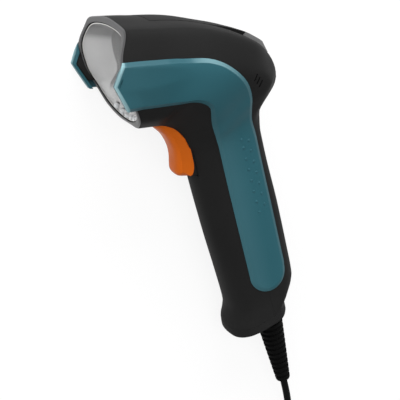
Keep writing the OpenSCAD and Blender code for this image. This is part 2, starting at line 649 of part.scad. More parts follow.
// Imaging engine and its tray
lens_z = -3.5;
lens_y = engine_y + 1.5;
barrel_d = 7;
barrel_h = 4;
glass_d = 5;
glass_t = 1;
aimer_d = 4;
aimer_z = 5.5;
module facing(y, z, x) {
    translate([x, y, z]) rotate([0, 90, 0]) children();
}
module engine_body() {
    color([0.12, 0.12, 0.13]) difference() {
        box_of(engine_x, engine_x + engine_len, engine_y - engine_half_h, engine_y + engine_half_h,
            engine_half_w);
        facing(lens_y, lens_z, engine_x - 1) cylinder(d = barrel_d + 0.06, h = 3, $fn = 48);
        facing(lens_y, aimer_z, engine_x - 1) cylinder(d = aimer_d + 0.06, h = 2.5, $fn = 32);
    }
}
module camera_lens_barrel() {
    color([0.06, 0.06, 0.06]) facing(lens_y, lens_z, engine_x + 2 - barrel_h) difference() {
        cylinder(d = barrel_d, h = barrel_h, $fn = 48);
        translate([0, 0, -1]) cylinder(d = glass_d + 0.04, h = glass_t + 1.4, $fn = 48);
    }
}
module camera_lens_glass() {
    color([0.3, 0.32, 0.4, 0.8]) facing(lens_y, lens_z, engine_x + 2 - barrel_h + 0.3)
        cylinder(d = glass_d, h = glass_t, $fn = 48);
}
module aimer_lens() {
    color([0.7, 0.75, 0.8, 0.6]) facing(lens_y, aimer_z, engine_x - 0.5)
        cylinder(d = aimer_d, h = 1.9, $fn = 32);
}
module engine_bracket() {
    low = engine_y - engine_half_h - 0.1;
    side = engine_half_w + 0.1;
    color([0.5, 0.5, 0.52]) difference() {
        union() {
            box_of(engine_x, engine_x + engine_len, low - bracket_t, low, side + bracket_t);
            on_both_sides() {
                translate([engine_x, low - 0.1, side])
                    cube([engine_len, bracket_y + bracket_t - low + 0.1, bracket_t]);
                translate([bracket_x - boss_d / 2, bracket_y, side])
                    cube([boss_d, bracket_t, bracket_z + boss_d / 2 - side]);
            }
        }
        roof_boss(screw_d + 0.4, bracket_y - 1, bracket_y + bracket_t + 1);
    }
}
module engine_screws() {
    color([0.6, 0.6, 0.6]) {
        roof_boss(screw_d, bracket_y - 0.1, bracket_y + engine_screw_len);
        roof_boss(screw_head_d - 0.2, bracket_y - 1.7, bracket_y - 0.05);
    }
}

// Boards in the grip
ribbon_half_w = 5;
ribbon_t = 0.3;
beeper_s = 14;
beeper_d = 12;
beeper_h = 5;
module main_board() {
    color([0.08, 0.3, 0.16]) difference() {
        on_grip(board_to, board_v) box_of(0, board_t, 0, board_to - board_from, board_half_w);
        for (s = screw_at) across_grip(s, board_v - 1, board_v + board_t + 1, screw_d + 1.6);
    }
}
module beeper() {
    color([0.07, 0.07, 0.07]) across_grip(beeper_s, board_v + board_t, board_v + board_t + beeper_h,
        beeper_d);
}
ribbon_end = board_v * [cos(grip_lean), sin(grip_lean)]
    + (board_from + 6) * [sin(grip_lean), -cos(grip_lean)];
ribbon_path = [[engine_x + engine_len, engine_y + 3], [36, 51], [41, 48.5], [45, 42], [46.6, 34], [47, 26],
    ribbon_end + 7 * [-sin(grip_lean), cos(grip_lean)], ribbon_end];
function path_normal(p, i) =
    let (t = p[min(len(p) - 1, i + 1)] - p[max(0, i - 1)]) [t[1], -t[0]] / norm(t);
module flex_ribbon() {
    outer = [for (i = [0:len(ribbon_path) - 1]) ribbon_path[i]];
    inner = [for (i = [len(ribbon_path) - 1:-1:0])
        ribbon_path[i] + ribbon_t * path_normal(ribbon_path, i)];
    color([0.7, 0.45, 0.1]) translate([0, 0, -ribbon_half_w])
        linear_extrude(2 * ribbon_half_w) polygon(concat(outer, inner));
}

// Roof inlay and its light
module top_panel() {
    color([0.13, 0.13, 0.13]) inlay(inlay_from + 0.15, pipe_from - 0.15, inlay_proud,
        -recess + 0.08, 0.4);
}
module indicator_light_pipe() {
    color([0.6, 0.6, 0.6]) inlay(pipe_from, pipe_to, inlay_proud, -recess + 0.08, 0.4);
}

// Trigger, as seen from the left
trigger_front = [[3.8, 26.4], [2.5, 23.4], [2.1, 20.4], [4.5, 18.1], [7.5, 15.4], [9.9, 11.8],
    [11.5, 8], [12.3, 4], [12.4, -0.6], [12.6, -2.6], [13.8, -4.1]];
trigger_back = [[20.3, -4], [22.6, -1.8], [22.8, 2.5], [20.8, 9], [17.6, 15.5], [14, 21],
    [10.4, 25.4], [7, 28.5]];
// Parts of the half width, and how far the finger's edge is rounded in there
trigger_round = [[-1, 1.3], [-0.95, 0.6], [-0.82, 0.15], [-0.45, 0], [0.45, 0], [0.82, 0.15],
    [0.95, 0.6], [1, 1.3]];
hub_half_len = trigger_w / 2 - 0.4;
tip_drop = 2.2;
plunger_from = 24.45;
plunger_to = 29;
plunger_gap = 0.15;
nose_r = 1;
nose = [plunger_from - plunger_gap - nose_r, switch_y - 1];
nose_half_w = 2.5;
spring_wire = 0.6;
spring_r = 2.1;
spring_z = 3.5;
spring_turns = 3;
spring_pitch = 0.72;
spring_well_z = 3;
spring_well_h = 3.4;
leg_slot_len = 9.6;
function tongue(p, q) = [p[0], p[1] - tip_drop * (1 - q * q) * min(1, max(0, -p[1] / 4))
    * min(1, max(0, (21.5 - p[0]) / 3)), q * trigger_w / 2];
function finger(inset) = [for (i = [0:len(trigger_front) - 1])
    trigger_front[i] - inset * path_normal(trigger_front, i) * (i < 2 ? 0.3 : 1)];
module trigger() {
    color([0.78, 0.36, 0.1]) difference() {
        union() {
            loft([for (q = trigger_round)
                [for (p = concat(finger(q[1]), trigger_back)) tongue(p, q[0])]]);
            translate([pivot[0], pivot[1], -hub_half_len])
                cylinder(r = hub_r, h = 2 * hub_half_len, $fn = 48);
            translate([nose[0], nose[1], -nose_half_w]) cylinder(r = nose_r, h = 2 * nose_half_w, $fn = 32);
            translate([0, 0, -nose_half_w]) linear_extrude(2 * nose_half_w)
                polygon([[16, 11], nose - [0.2, nose_r - 0.1], nose + [-0.2, nose_r - 0.1], [15, 17.2]]);
        }
        translate([pivot[0], pivot[1], -trigger_w])
            cylinder(d = pin_d + 2 * run_gap, h = 2 * trigger_w, $fn = 48);
        translate([pivot[0], pivot[1], spring_well_z])
            cylinder(r = spring_r + 0.8, h = spring_well_h, $fn = 48);
        translate([pivot[0] + spring_r - 0.6, pivot[1] - leg_slot_len, spring_well_z + 0.2])
            cube([1.2, leg_slot_len - 0.3, spring_well_h - 0.4]);
    }
}
module trigger_pivot_pin() {
    color([0.7, 0.7, 0.7]) translate([pivot[0], pivot[1], -pin_half_len])
        cylinder(d = pin_d, h = 2 * pin_half_len, $fn = 48);
}
module trigger_spring() {
    steps = 12 * spring_turns;
    coil = [for (i = [0:steps]) let (a = -30 * i)
        [pivot[0] + spring_r * cos(a), pivot[1] + spring_r * sin(a),
            spring_z + spring_pitch * spring_turns * (1 - i / steps)]];
    color([0.75, 0.75, 0.75]) tube(concat([coil[0] + [0, 6, 0], coil[0] + [0, 3, 0]], coil,
        [coil[steps] - [0, 4, 0], coil[steps] - [0, 9, 0]]), spring_wire, 6);
}
module trigger_switch() {
    color([0.1, 0.1, 0.1]) difference() {
        box_of(switch_from, switch_to, switch_y - 5, switch_y + 5, switch_half_w);
        facing(switch_y, 0, switch_from - 1)
            cylinder(d = plunger_d + 2 * run_gap, h = plunger_to + 2.3 - switch_from, $fn = 48);
    }
}
module switch_plunger() {
    color([0.85, 0.85, 0.85]) facing(switch_y, 0, plunger_from)
        cylinder(d = plunger_d, h = plunger_to - plunger_from, $fn = 48);
}
module switch_board() {
    color([0.08, 0.3, 0.16]) box_of(switch_board_x, switch_board_x + board_t, switch_board_low,
        switch_board_top, switch_board_half_w);
}

// Foot, jack and strain relief
plug_half_w = 4.8;
plug_half_h = 4;
jack_wall = 1.1;
flange_front = 8;
flange_back = 4.2;
flange_half_w = 7;
function ring_of(s, off) = let (q = section(turn + s)) [for (a = ring_angles(turn + s)) skin(q, a, off)];
module base_cap() {
    color([0.15, 0.15, 0.15]) difference() {
        union() {
            difference() {
                loft([for (q = [[foot_h - seam, 0], [5, 0], [2.9, -0.5], [1.3, -1.6], [0.4, -3.2], [0, -5.4]])
                    ring_of(cap_to - q[0], q[1])]);
                loft([for (s = [cap_from - 1, cap_to - wall]) ring_of(s, -wall)]);
            }
            band([for (q = [[-3, 0.12], [-0.05, 0.12], [0.3, -0.4], [3, -0.4], [3, 1.3], [-3, 1.3]])
                ring_of(cap_from + q[0], -wall - q[1])]);
        }
        on_grip(cap_to + 1, relief_v) rotate([-90, 0, 0])
            cylinder(d = relief_d + 0.3, h = wall + 1.2, $fn = 64);
    }
}
module modular_jack() {
    color([0.1, 0.1, 0.1]) on_grip(jack_to, board_v - 0.05 - plug_half_h - jack_wall) difference() {
        box_of(-plug_half_h - jack_wall, plug_half_h + jack_wall, 0, jack_to - jack_from,
            plug_half_w + jack_wall);
        box_of(-plug_half_h - 0.1, plug_half_h + 0.1, -1, jack_to - jack_from - 2, plug_half_w + 0.1);
    }
}
module modular_plug() {
    color([0.75, 0.77, 0.8, 0.7]) on_grip(plug_to, board_v - 0.05 - plug_half_h - jack_wall)
        box_of(-plug_half_h, plug_half_h, 0, plug_to - jack_from - 2.2, plug_half_w);
}
function relief_r(z) = (relief_tip_d + (relief_d - relief_tip_d) * z / relief_len) / 2;
module strain_relief() {
    rib_pitch = (relief_len - 4) / relief_ribs;
    collar = relief_to - relief_from;
    color([0.05, 0.05, 0.05]) difference() {
        on_grip(relief_to, relief_v) {
            rotate([-90, 0, 0]) rotate_extrude($fn = 48) polygon(concat(
                [[0, 0], [relief_r(0) - 0.5, 0], [relief_r(0), 0.5]],
                [for (k = [0:relief_ribs - 1]) let (z = 2.4 + k * rib_pitch) each [
                    [relief_r(z), z], [relief_r(z) - 0.9, z + 0.3],
                    [relief_r(z) - 0.9, z + 0.4 * rib_pitch],
                    [relief_r(z + 0.5 * rib_pitch), z + 0.4 * rib_pitch + 0.3]]],
                [[relief_d / 2, relief_len - 0.6], [relief_d / 2, relief_len + wall - 0.1],
                    [4.4, relief_len + wall - 0.1], [4.4, collar], [0, collar]]));
            translate([-flange_front, relief_to - cap_to + wall + 0.1, -flange_half_w])
                cube([flange_front + flange_back, 2, 2 * flange_half_w]);
        }
    }
}
module housing_screws() {
    color([0.6, 0.6, 0.6]) for (s = screw_at) {
        across_grip(s, board_v - screw_grip + 0.6, screw_seat + screw_head_h / 2, screw_d);
        across_grip(s, screw_seat, screw_seat + screw_head_h, screw_head_d);
    }
}

// Cable on the floor: places seen from above relative to the tip of the strain relief, and
// the part of the tip's height that is left
cord_r = cord_d / 2;
tip = [relief_tip[0] - origin_x, relief_tip[1] * cos(tilt) - origin_y,
    relief_tip[1] * sin(tilt) + rest_h];
run_path = [[0, 0, 1], [2.4, -9.6, 0.85], [4.4, -19, 0.62], [5.7, -28.5, 0.36], [6.3, -38, 0.14],
    [6.5, -48.5, 0.03], [6.3, -60, 0], [5.8, -72, 0], [5.4, -84, 0]];
coil_at = [-22, -84];
coil_r = 21.6;
coil_half_w = 8;
coil_h = 15;
tail_path = [[-8.5, -107.5, 0], [-15, -113, 0], [-24, -116.2, 0], [-33, -117.2, 0.05],
    [-43, -118.2, 0.2], [-52, -119.7, 0.28]];
plug_turn = 190;
boot_len = 8;
boot_d = 6.4;
plug_len = 26;
plug_w = 16;
plug_h = 8;
shell_len = 12;
shell_w = 12;
shell_h = 4.5;
shell_t = 0.4;
tie_w = 6;
tie_t = 0.9;
tie_turn = 62;
function laid_path(p) = [for (q = p) [tip[0] + q[0], tip[1] + q[1],
    cord_r + 0.05 + (tip[2] - cord_r - 0.05) * q[2]]];
module at_coil() {
    translate([tip[0] + coil_at[0], tip[1] + coil_at[1], 0]) children();
}
module at_plug() {
    q = laid_path(tail_path)[len(tail_path) - 1];
    translate([q[0], q[1], q[2]]) rotate([0, 0, plug_turn]) children();
}
module cord_run() {
    color([0.05, 0.05, 0.05]) tube(laid_path(run_path), cord_d, 8);
}
module cord_coil() {
    cut = 2.6;
    color([0.05, 0.05, 0.05]) at_coil() rotate_extrude($fn = 48) polygon([
        [coil_r - coil_half_w, cut], [coil_r - coil_half_w + cut, 0.3], [coil_r + coil_half_w - cut, 0.3],
        [coil_r + coil_half_w, cut], [coil_r + coil_half_w, coil_h - cut],
        [coil_r + coil_half_w - cut, coil_h], [coil_r - coil_half_w + cut, coil_h],
        [coil_r - coil_half_w, coil_h - cut]]);
}
module cord_tail() {
    color([0.05, 0.05, 0.05]) tube(laid_path(tail_path), cord_d, 8);
}
module cord_tie() {
    color([0.02, 0.02, 0.02]) at_coil() rotate([0, 0, tie_turn]) translate([coil_r, 0, 0])
        difference() {
            translate([-coil_half_w - tie_t, -tie_w / 2, 0])
                cube([2 * coil_half_w + 2 * tie_t, tie_w, coil_h + tie_t]);
            translate([-coil_half_w + 0.2, -tie_w, tie_t])
                cube([2 * coil_half_w - 0.4, 2 * tie_w, coil_h - tie_t - 0.2]);
        }
}
module usb_plug_body() {
    color([0.08, 0.08, 0.08]) at_plug() {
        rotate([0, 90, 0]) cylinder(d = boot_d, h = boot_len + 0.5, $fn = 32);
        translate([boot_len, -plug_w / 2, -plug_h / 2]) cube([plug_len, plug_w, plug_h]);
    }
}
module usb_plug_shell() {
    color([0.75, 0.75, 0.77]) at_plug() translate([boot_len + plug_len, 0, 0]) difference() {
        translate([0, -shell_w / 2, -shell_h / 2]) cube([shell_len, shell_w, shell_h]);
        translate([-1, -shell_w / 2 + shell_t, -shell_h / 2 + shell_t])
            cube([shell_len + 2, shell_w - 2 * shell_t, shell_h - 2 * shell_t]);
    }
}
module usb_plug_insert() {
    color([0.9, 0.9, 0.9]) at_plug() translate([boot_len + plug_len, -shell_w / 2 + shell_t + 0.05,
        shell_h / 2 - shell_t - 1.85]) cube([shell_len - 1, shell_w - 2 * shell_t - 0.1, 1.8]);
}

laid() rear_housing();
laid() front_housing();
laid() left_side_pad();
laid() right_side_pad();
laid() nose_frame();
laid() window_gasket();
laid() scan_window();
laid() light_shroud();
laid() illumination_leds();
laid() led_board();
laid() engine_body();
laid() camera_lens_barrel();
laid() camera_lens_glass();
laid() aimer_lens();
laid() engine_bracket();
laid() engine_screws();
laid() main_board();
laid() flex_ribbon();
laid() beeper();
laid() top_panel();
laid() indicator_light_pipe();
laid() trigger();
laid() trigger_pivot_pin();
laid() trigger_spring();
laid() trigger_switch();
laid() switch_plunger();
laid() switch_board();
laid() base_cap();
laid() modular_jack();
laid() modular_plug();
laid() strain_relief();
laid() housing_screws();
cord_run();
cord_coil();
cord_tail();
cord_tie();
usb_plug_body();
usb_plug_shell();
usb_plug_insert();
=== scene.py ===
"""Looks of a wired handheld barcode scanner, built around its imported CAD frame.

Shapes are worked out upright and in millimetres around the bend line between head and grip, as in
the part's source: x to the back, y up, z to the left side. lay_down puts them in the row frame.
"""

import math
from functools import lru_cache

import bmesh
import bpy
from mathutils import Matrix, Vector


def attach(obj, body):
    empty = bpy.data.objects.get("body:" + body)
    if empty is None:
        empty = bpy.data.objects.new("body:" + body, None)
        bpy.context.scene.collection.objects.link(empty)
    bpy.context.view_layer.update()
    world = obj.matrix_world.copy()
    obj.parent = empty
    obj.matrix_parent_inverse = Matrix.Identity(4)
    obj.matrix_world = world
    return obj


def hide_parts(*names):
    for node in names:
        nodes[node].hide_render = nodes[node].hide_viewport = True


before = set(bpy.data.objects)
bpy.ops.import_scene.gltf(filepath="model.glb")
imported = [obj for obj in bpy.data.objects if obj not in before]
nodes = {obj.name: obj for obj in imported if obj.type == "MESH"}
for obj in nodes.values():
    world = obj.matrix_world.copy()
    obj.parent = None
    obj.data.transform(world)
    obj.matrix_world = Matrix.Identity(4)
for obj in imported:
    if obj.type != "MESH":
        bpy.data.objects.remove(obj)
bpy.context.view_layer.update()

# ---------------------------------------------------------------- sizes
# As in the part's source, apart from the strain relief's width and ribs and the sections at the
# elbow, which follow the photo a little more closely
MM = 0.001
SHARP_FROM = 35    # degrees between two faces that meet in a sharp edge
HEAD_REACH = 20.5
HW = 32.6
ROOF = 70.2
BELLY = 19.6
BEAK = 80.0
SIDE_LEAN = 7.8
LEAN = 14.5
GRIP_LEN = 91.5
GRIP_FRONT = 18.0
GRIP_BACK = 59.0
GW = 16.2
FOOT_H = 8.4
WALL = 2.2
SEAM = 0.12
RECESS = 1.1
INLAY_PROUD = 0.1
PAD_PROUD = 1.8
PAD_LOW = 0.9
PAD_BEVEL = 1.6
WING_REACH = 4.4
WING_FOLD = 3.0
WING_FLARE = 1.8
BEZEL_W = 3.2
BEZEL_GAP = 0.2
TRIGGER_W = 14.8
CORD_D = 3.8
RELIEF_D = 14.4
RELIEF_TIP_D = 7.7
RELIEF_LEN = 42.0
RELIEF_RIBS = 12

TURN = 90 - LEAN
GRIP_END = TURN + GRIP_LEN
CAP_TO = GRIP_LEN + FOOT_H
HEAD_MID = 45.5
GRIP_MID = 39.2
WING_TOP = 54.7
WING_APEX = 45.2
WING_LOW = 33.8
SPLIT = 92.0
INNER_CRISP = 10.0

# How the upright scanner lies in the row frame
TILT = math.radians(7.34428)
REST_H = 26.4078
ORIGIN = (27.3769, -28.5817)
lay_down = (
    Matrix.Scale(MM, 4)
    @ Matrix.Translation((-ORIGIN[0], -ORIGIN[1], REST_H))
    @ Matrix.Rotation(TILT, 4, "X")
)


def stations(top, half_w, belt_w, low, rows):
    """Sections of the body. A row holds its place, the roof's crown, the roof's edge and half
    width, the shoulder's height and half width, the belt's height and half width, the belly's
    edge and half width, the belly's crown and how crisp the corners are. Most are given as
    differences from these sizes."""
    return [(u, top + crown, top + edge, half_w + edge_w, shoulder, half_w + shoulder_w, belt,
             belt_w + wider, low + under, under_w, low + keel, crisp)
            for (u, crown, edge, edge_w, shoulder, shoulder_w, belt, wider, under, under_w, keel,
                 crisp) in rows]


STATIONS = stations(ROOF, HW, HW - SIDE_LEAN, BELLY, [
    (-HEAD_REACH - 10, 0.2, -3.2, -6.1, 50.5, 0.2, 28, 0, 1.9, 12, 0, 24),
    (-10, 0, -3.2, -6.1, 50.5, 0.2, 28, 0, 1.9, 12, 0, 24),
    (0, -0.4, -3.4, -6.6, 51.2, 0, 29.2, 0.3, 1.9, 11.5, 0.2, 22),
    (15, 0.6, -1.9, -7.6, 54, -0.8, 37, 4.2, 1.6, 8.5, 0.2, 20),
    (30, 3.6, 1.3, -10.1, 57, -2.2, 37, 2.2, 1.4, 8, 0, 18),
    (40, 6.2, 5, -14.6, 61, -4.2, 36, 0, 1, 8, -0.4, 18),
]) + stations(BEAK, HW, HW - SIDE_LEAN, BELLY, [
    (49, -0.6, -1.4, -25.1, 65, -7.6, 35, -2.8, 0.6, 8, -1, 18),
    (52, -1.2, -2, -24.6, 65, -8.6, 34.5, -3.6, 0.4, 8, -1.2, 18),
]) + stations(BEAK, GW, GW, GRIP_FRONT, [
    (58, -4.2, -5.6, -7.7, 59, 3.6, 34, 3.8, 1.6, 8, 0.2, 18),
    (61.5, -8.4, -12.2, -9.7, 54, 2.3, 33, 2.6, 1.4, 8, 0, 16),
]) + stations(GRIP_BACK, GW, GW, GRIP_FRONT, [
    (64.5, 6.4, 3.4, -9.7, 52, 1.6, 32, 2.1, 1.2, 8, -0.2, 12),
    (68.6, 1.8, 0.6, -8.7, 50, 1, 31, 1.4, 1.2, 7.5, -0.2, 11),
    (TURN, -0.6, -1, -7.7, 49, 0.6, 30, 0.8, 1, 7.5, -0.4, 10),
    (TURN + 12.5, -0.6, -0.6, -8.2, 49.2, 0.2, 29, 0, 0.6, 7.5, -0.6, 10),
    (TURN + 39.5, 0.2, 0.2, -8.2, 50, 0, 29, -0.2, 0.8, 7.5, 0, 10),
    (GRIP_END - 24, 0, 0, -8.2, 50, 0, 29, -0.2, 2, 7.5, 1.2, 10),
    (GRIP_END - 12.5, -0.4, -0.4, -8.2, 49.5, 0, 28.6, 0, 2.4, 7.5, 1.6, 10),
    (GRIP_END - 9, -1.6, -1.6, -8.2, 48.5, 0, 28.2, 0, 2.2, 7.5, 1.4, 10),
    (GRIP_END - 4, -5.6, -5.6, -8.7, 46, 0.2, 27, 0.4, 0.6, 8, -0.2, 10),
    (GRIP_END, -8.8, -8.8, -8.7, 43, 0.4, 25.6, 0.6, -1.2, 8.5, -2, 10),
    (GRIP_END + FOOT_H, -9.4, -9.4, -8.7, 43, 0.2, 25.6, 0.2, -1.6, 8.5, -2.4, 10),
])
# How far the mouth's rim and the wings' front edge lie behind the head's reach, by height
RIM = [
    (BELLY - 1.1, 19.5), (BELLY + 0.9, 15.2), (BELLY + 2.9, 12.6), (BELLY + 6.9, 10.3),
    (30.5, 8.6), (34.5, 6.7), (44.5, 1.8), (WING_TOP - 0.2, 0), (ROOF - 4.7, 3), (ROOF - 0.7, 3.6),
]
WING = [
    (WING_LOW - 3, 4.2), (WING_LOW, 2.2), (WING_APEX, -WING_REACH), (WING_TOP, -0.8),
    (WING_TOP + 3, 0.4),
]
# The side pads' upper and lower edge along the body
PAD_EDGES = [
    (-HEAD_REACH - 6, WING_TOP + 0.1, WING_LOW), (-10, 55.1, 34.2), (5, 55.1, 34.9),
    (12, 55.8, 35.8), (18, 56.8, 37.2), (26, 57.3, 38), (31, 57.1, 37.9), (36, 56.8, 36),
    (41, 56.3, 34), (48, 54.8, 32.4), (56, 51.8, 31.4), (64, 50, 30.9),
    (TURN, 50.6, 30.7), (GRIP_END, 50.4, 30.8),
]
# The roof inlay's half width along the body, and how far it rises over the roof
INLAY_W = [(-10, 11.6), (20, 11.9), (38, 10.7), (51, 8.2)]
INLAY_RISE = [(20, 0), (31, 1), (37, 1.9), (43, 1.9), (46, 0.8), (49, 0.1)]


# ---------------------------------------------------------------- the body's surface
# u runs along the body: millimetres up to the bend line, degrees round it to TURN, then
# millimetres down the grip. v is the distance out from the bend line (in level and set_at from
# the section's middle), w the one to the side, a an angle from the roof, and off the distance
# outside the surface. A section is its facets, its crispness, its middle, the place of its bend
# line and the way out from there.
def slope(table, k, c):
    """The slope at row k: level at both ends, at a peak and at a trough."""
    if k in (0, len(table) - 1):
        return 0.0
    h0, h1 = table[k][0] - table[k - 1][0], table[k + 1][0] - table[k][0]
    d0, d1 = (table[k][c] - table[k - 1][c]) / h0, (table[k + 1][c] - table[k][c]) / h1
    return 0.0 if d0 * d1 <= 0 else 3 * (h0 + h1) / ((2 * h1 + h0) / d0 + (h1 + 2 * h0) / d1)


def smooth(table, x, c=1):
    """The table's column c at x, without overshoot between its rows."""
    if x <= table[0][0]:
        return table[0][c]
    if x >= table[-1][0]:
        return table[-1][c]
    k = max(i for i, row in enumerate(table) if row[0] <= x)
    h = table[k + 1][0] - table[k][0]
    s = (x - table[k][0]) / h
    return (
        table[k][c] * (1 + 2 * s) * (1 - s) ** 2 + slope(table, k, c) * h * s * (1 - s) ** 2
        + table[k + 1][c] * s * s * (3 - 2 * s) + slope(table, k + 1, c) * h * s * s * (s - 1)
    )


def straight(table, x):
    """The table's second column at x, in straight lines between its rows."""
    if x <= table[0][0]:
        return table[0][1]
    for (x0, y0), (x1, y1) in zip(table, table[1:]):
        if x <= x1:
            return y0 + (y1 - y0) * (x - x0) / (x1 - x0)
    return table[-1][1]


def clamp(x):
    return min(1.0, max(0.0, x))


def outward(u):
    a = math.radians(90 - LEAN if u >= TURN else max(u, 0))
    return (math.sin(a), math.cos(a))


def base(u):
    if u <= 0:
        return (u, 0.0)
    s = max(0.0, u - TURN)
    a = math.radians(LEAN)
    return (s * math.sin(a), -s * math.cos(a))


def middle(u):
    return HEAD_MID + (GRIP_MID - HEAD_MID) * clamp(u / TURN)


@lru_cache(maxsize=None)
def facets(u):
    """The half section's flat sides: outward normal and distance from the middle."""
    m = middle(u)
    c = [smooth(STATIONS, u, k) for k in range(1, 11)]
    pts = [(c[0] - m, 0), (c[1] - m, c[2]), (c[3] - m, c[4]), (c[5] - m, c[6]), (c[7] - m, c[8]),
           (c[9] - m, 0)]
    out = []
    for (v0, w0), (v1, w1) in zip(pts, pts[1:]):
        size = math.hypot(v1 - v0, w1 - w0)
        nv, nw = (w1 - w0) / size, (v0 - v1) / size
        out.append((nv, nw, nv * v0 + nw * w0))
    return out


@lru_cache(maxsize=None)
def section(u):
    return facets(u), smooth(STATIONS, u, 11), middle(u), base(u), outward(u)


@lru_cache(maxsize=None)
def head_section(x):
    """A section in the head, cut straight across, also past the bend line."""
    u = min(x, 0)
    return facets(u), smooth(STATIONS, u, 11), HEAD_MID, (x, 0.0), (0.0, 1.0)


def level(s, v, w, off):
    """Below 1 inside the section, 1 on its surface: the flats meet in corners that the
    crispness rounds."""
    total = 0.0
    last = len(s[0]) - 1
    for i, (nv, nw, d) in enumerate(s[0]):
        sides = (w, -w) if i in (0, last) else (w,)
        for side in sides:
            q = (nv * v + nw * side) / (d + off)
            if q > 0:
                total += q ** s[1]
    return total


def set_at(s, v, w):
    d = s[2] + v
    return Vector((s[3][0] + d * s[4][0], s[3][1] + d * s[4][1], w))


def skin(s, a, off):
    """The point of a section at an angle from the roof, off outside its surface."""
    cv, cw = math.cos(math.radians(a)), math.sin(math.radians(a))
    r = level(s, cv, abs(cw), off) ** (-1 / s[1])
    return set_at(s, r * cv, r * cw)


def side_pt(s, v, off):
    """The point on the near side of a section at distance v from the bend line."""
    lo, hi = 0.0, 60.0
    for _ in range(20):
        w = (lo + hi) / 2
        if level(s, v - s[2], w, off) < 1:
            lo = w
        else:
            hi = w
    return set_at(s, v - s[2], lo)


def corner_angle(u, k):
    return math.degrees(math.atan2(smooth(STATIONS, u, k + 1), smooth(STATIONS, u, k) - middle(u)))


def between(knots, parts):
    """The knots with parts - 1 values set evenly between each two."""
    out = [knots[0]]
    for a, b in zip(knots, knots[1:]):
        out += [a + (b - a) * (i + 1) / parts for i in range(parts)]
    return out


def upper(u):
    a, b = corner_angle(u, 2), corner_angle(u, 4)
    return [a / 2, a - 3, a, a + 3, (a + b) / 2, b - 4, b, b + 4, (b + 4 + SPLIT) / 2]


def lower(u):
    c, d = corner_angle(u, 6), corner_angle(u, 8)
    return [(SPLIT + c - 4) / 2, c - 4, c, c + 4, (2 * c + d) / 3, (c + 2 * d) / 3, d - 4, d,
            d + 5, (d + 185) / 2]


@lru_cache(maxsize=None)
def rear_angles(u):
    half = upper(u) + [SPLIT]
    return between([-a for a in reversed(half)] + [0] + half, 4)


@lru_cache(maxsize=None)
def front_angles(u):
    half = [SPLIT + 0.3] + lower(u)
    return between(half + [180] + [360 - a for a in reversed(half)], 4)


@lru_cache(maxsize=None)
def ring_angles(u, parts):
    half = upper(u) + [SPLIT] + lower(u)
    return between([0] + half + [180] + [360 - a for a in reversed(half)] + [360], parts)[:-1]


def rim_x(y):
    return smooth(RIM, y) - HEAD_REACH


def wing_x(y):
    return straight(WING, y) - HEAD_REACH


def round_section(x, off):
    """Inside the rim the corners grow rounder."""
    s = head_section(x)
    return (s[0], s[1] + (INNER_CRISP - s[1]) * clamp(-off / BEZEL_W)) + s[2:]


def mouth_pt(a, off, lead):
    y = skin(round_section(-10, off), a, off).y
    return skin(round_section(rim_x(y) + lead, off), a, off)


def shell_pt(f, a, off):
    x = min(-0.6, rim_x(skin(head_section(-10), a, off).y))
    return skin(head_section(round(x * (1 - f), 3)), a, off)


# ---------------------------------------------------------------- meshes
def grid(bm, rows, cols, place, painted_light=None):
    """A grid of faces with the point of row i and column j at place(i, j).

    The last argument says, for row i and column j, how strongly the material puts its painted
    highlight or painted shade colour there."""
    layer = bm.verts.layers.float.get("painted_light") or bm.verts.layers.float.new("painted_light")
    made = bmesh.ops.create_grid(bm, x_segments=cols - 1, y_segments=rows - 1, size=1)["verts"]
    for v in made:
        i = round((v.co.y + 1) / 2 * (rows - 1))
        j = round((v.co.x + 1) / 2 * (cols - 1))
        v.co = place(i, j)
        v[layer] = painted_light(i, j) if painted_light else 0.0
    return made


def plate(rows, cols, outer, inner, painted_light=None):
    """A curved plate between two grids, closed all round."""
    bm = bmesh.new()
    grid(bm, rows, cols, outer, painted_light)
    back = grid(bm, rows, cols, inner)
    bmesh.ops.reverse_faces(bm, faces=list({f for v in back for f in v.link_faces}))
    bmesh.ops.bridge_loops(bm, edges=[e for e in bm.edges if e.is_boundary])
    return bm


def ring(rows, cols, place, painted_light=None):
    """A closed band: both the rows and the columns run round to their start."""
    bm = bmesh.new()
    grid(bm, rows + 1, cols + 1, lambda i, j: place(i % rows, j % cols),
         painted_light and (lambda i, j: painted_light(i % rows, j % cols)))
    bmesh.ops.remove_doubles(bm, verts=bm.verts, dist=1e-5)
    return bm


def turned(profile, steps):
    """A profile of (radius, height) spun round z."""
    bm = bmesh.new()
    path = [bm.verts.new((r, 0, z)) for r, z in profile]
    edges = [bm.edges.new(pair) for pair in zip(path, path[1:])]
    bmesh.ops.spin(bm, geom=path + edges, cent=(0, 0, 0), axis=(0, 0, 1), angle=math.tau,
                   steps=steps, use_merge=True)
    bmesh.ops.remove_doubles(bm, verts=bm.verts, dist=1e-4)
    return bm


def move(x, y, z):
    return Matrix.Translation((x, y, z))


def turn(degrees, axis):
    return Matrix.Rotation(math.radians(degrees), 4, axis)


def add_cylinder(bm, radius, length, place, segments=32):
    made = bmesh.ops.create_cone(bm, cap_ends=True, segments=segments, radius1=radius,
                                 radius2=radius, depth=length)["verts"]
    bmesh.ops.transform(bm, matrix=place @ move(0, 0, length / 2), verts=made)


def add_box(bm, low, high):
    made = bmesh.ops.create_cube(bm, size=1)["verts"]
    size = Vector(high) - Vector(low)
    bmesh.ops.transform(
        bm, verts=made, matrix=Matrix.Translation((Vector(high) + Vector(low)) / 2)
        @ Matrix.Diagonal((*size, 1)))
    return made


def mirror(bm, verts):
    """Puts them on the scanner's other side."""
    bmesh.ops.transform(bm, matrix=Matrix.Diagonal((1, 1, -1, 1)), verts=verts)


def close_holes(bm):
    bmesh.ops.remove_doubles(bm, verts=bm.verts, dist=1e-4)
    bmesh.ops.holes_fill(bm, edges=[e for e in bm.edges if e.is_boundary], sides=0)


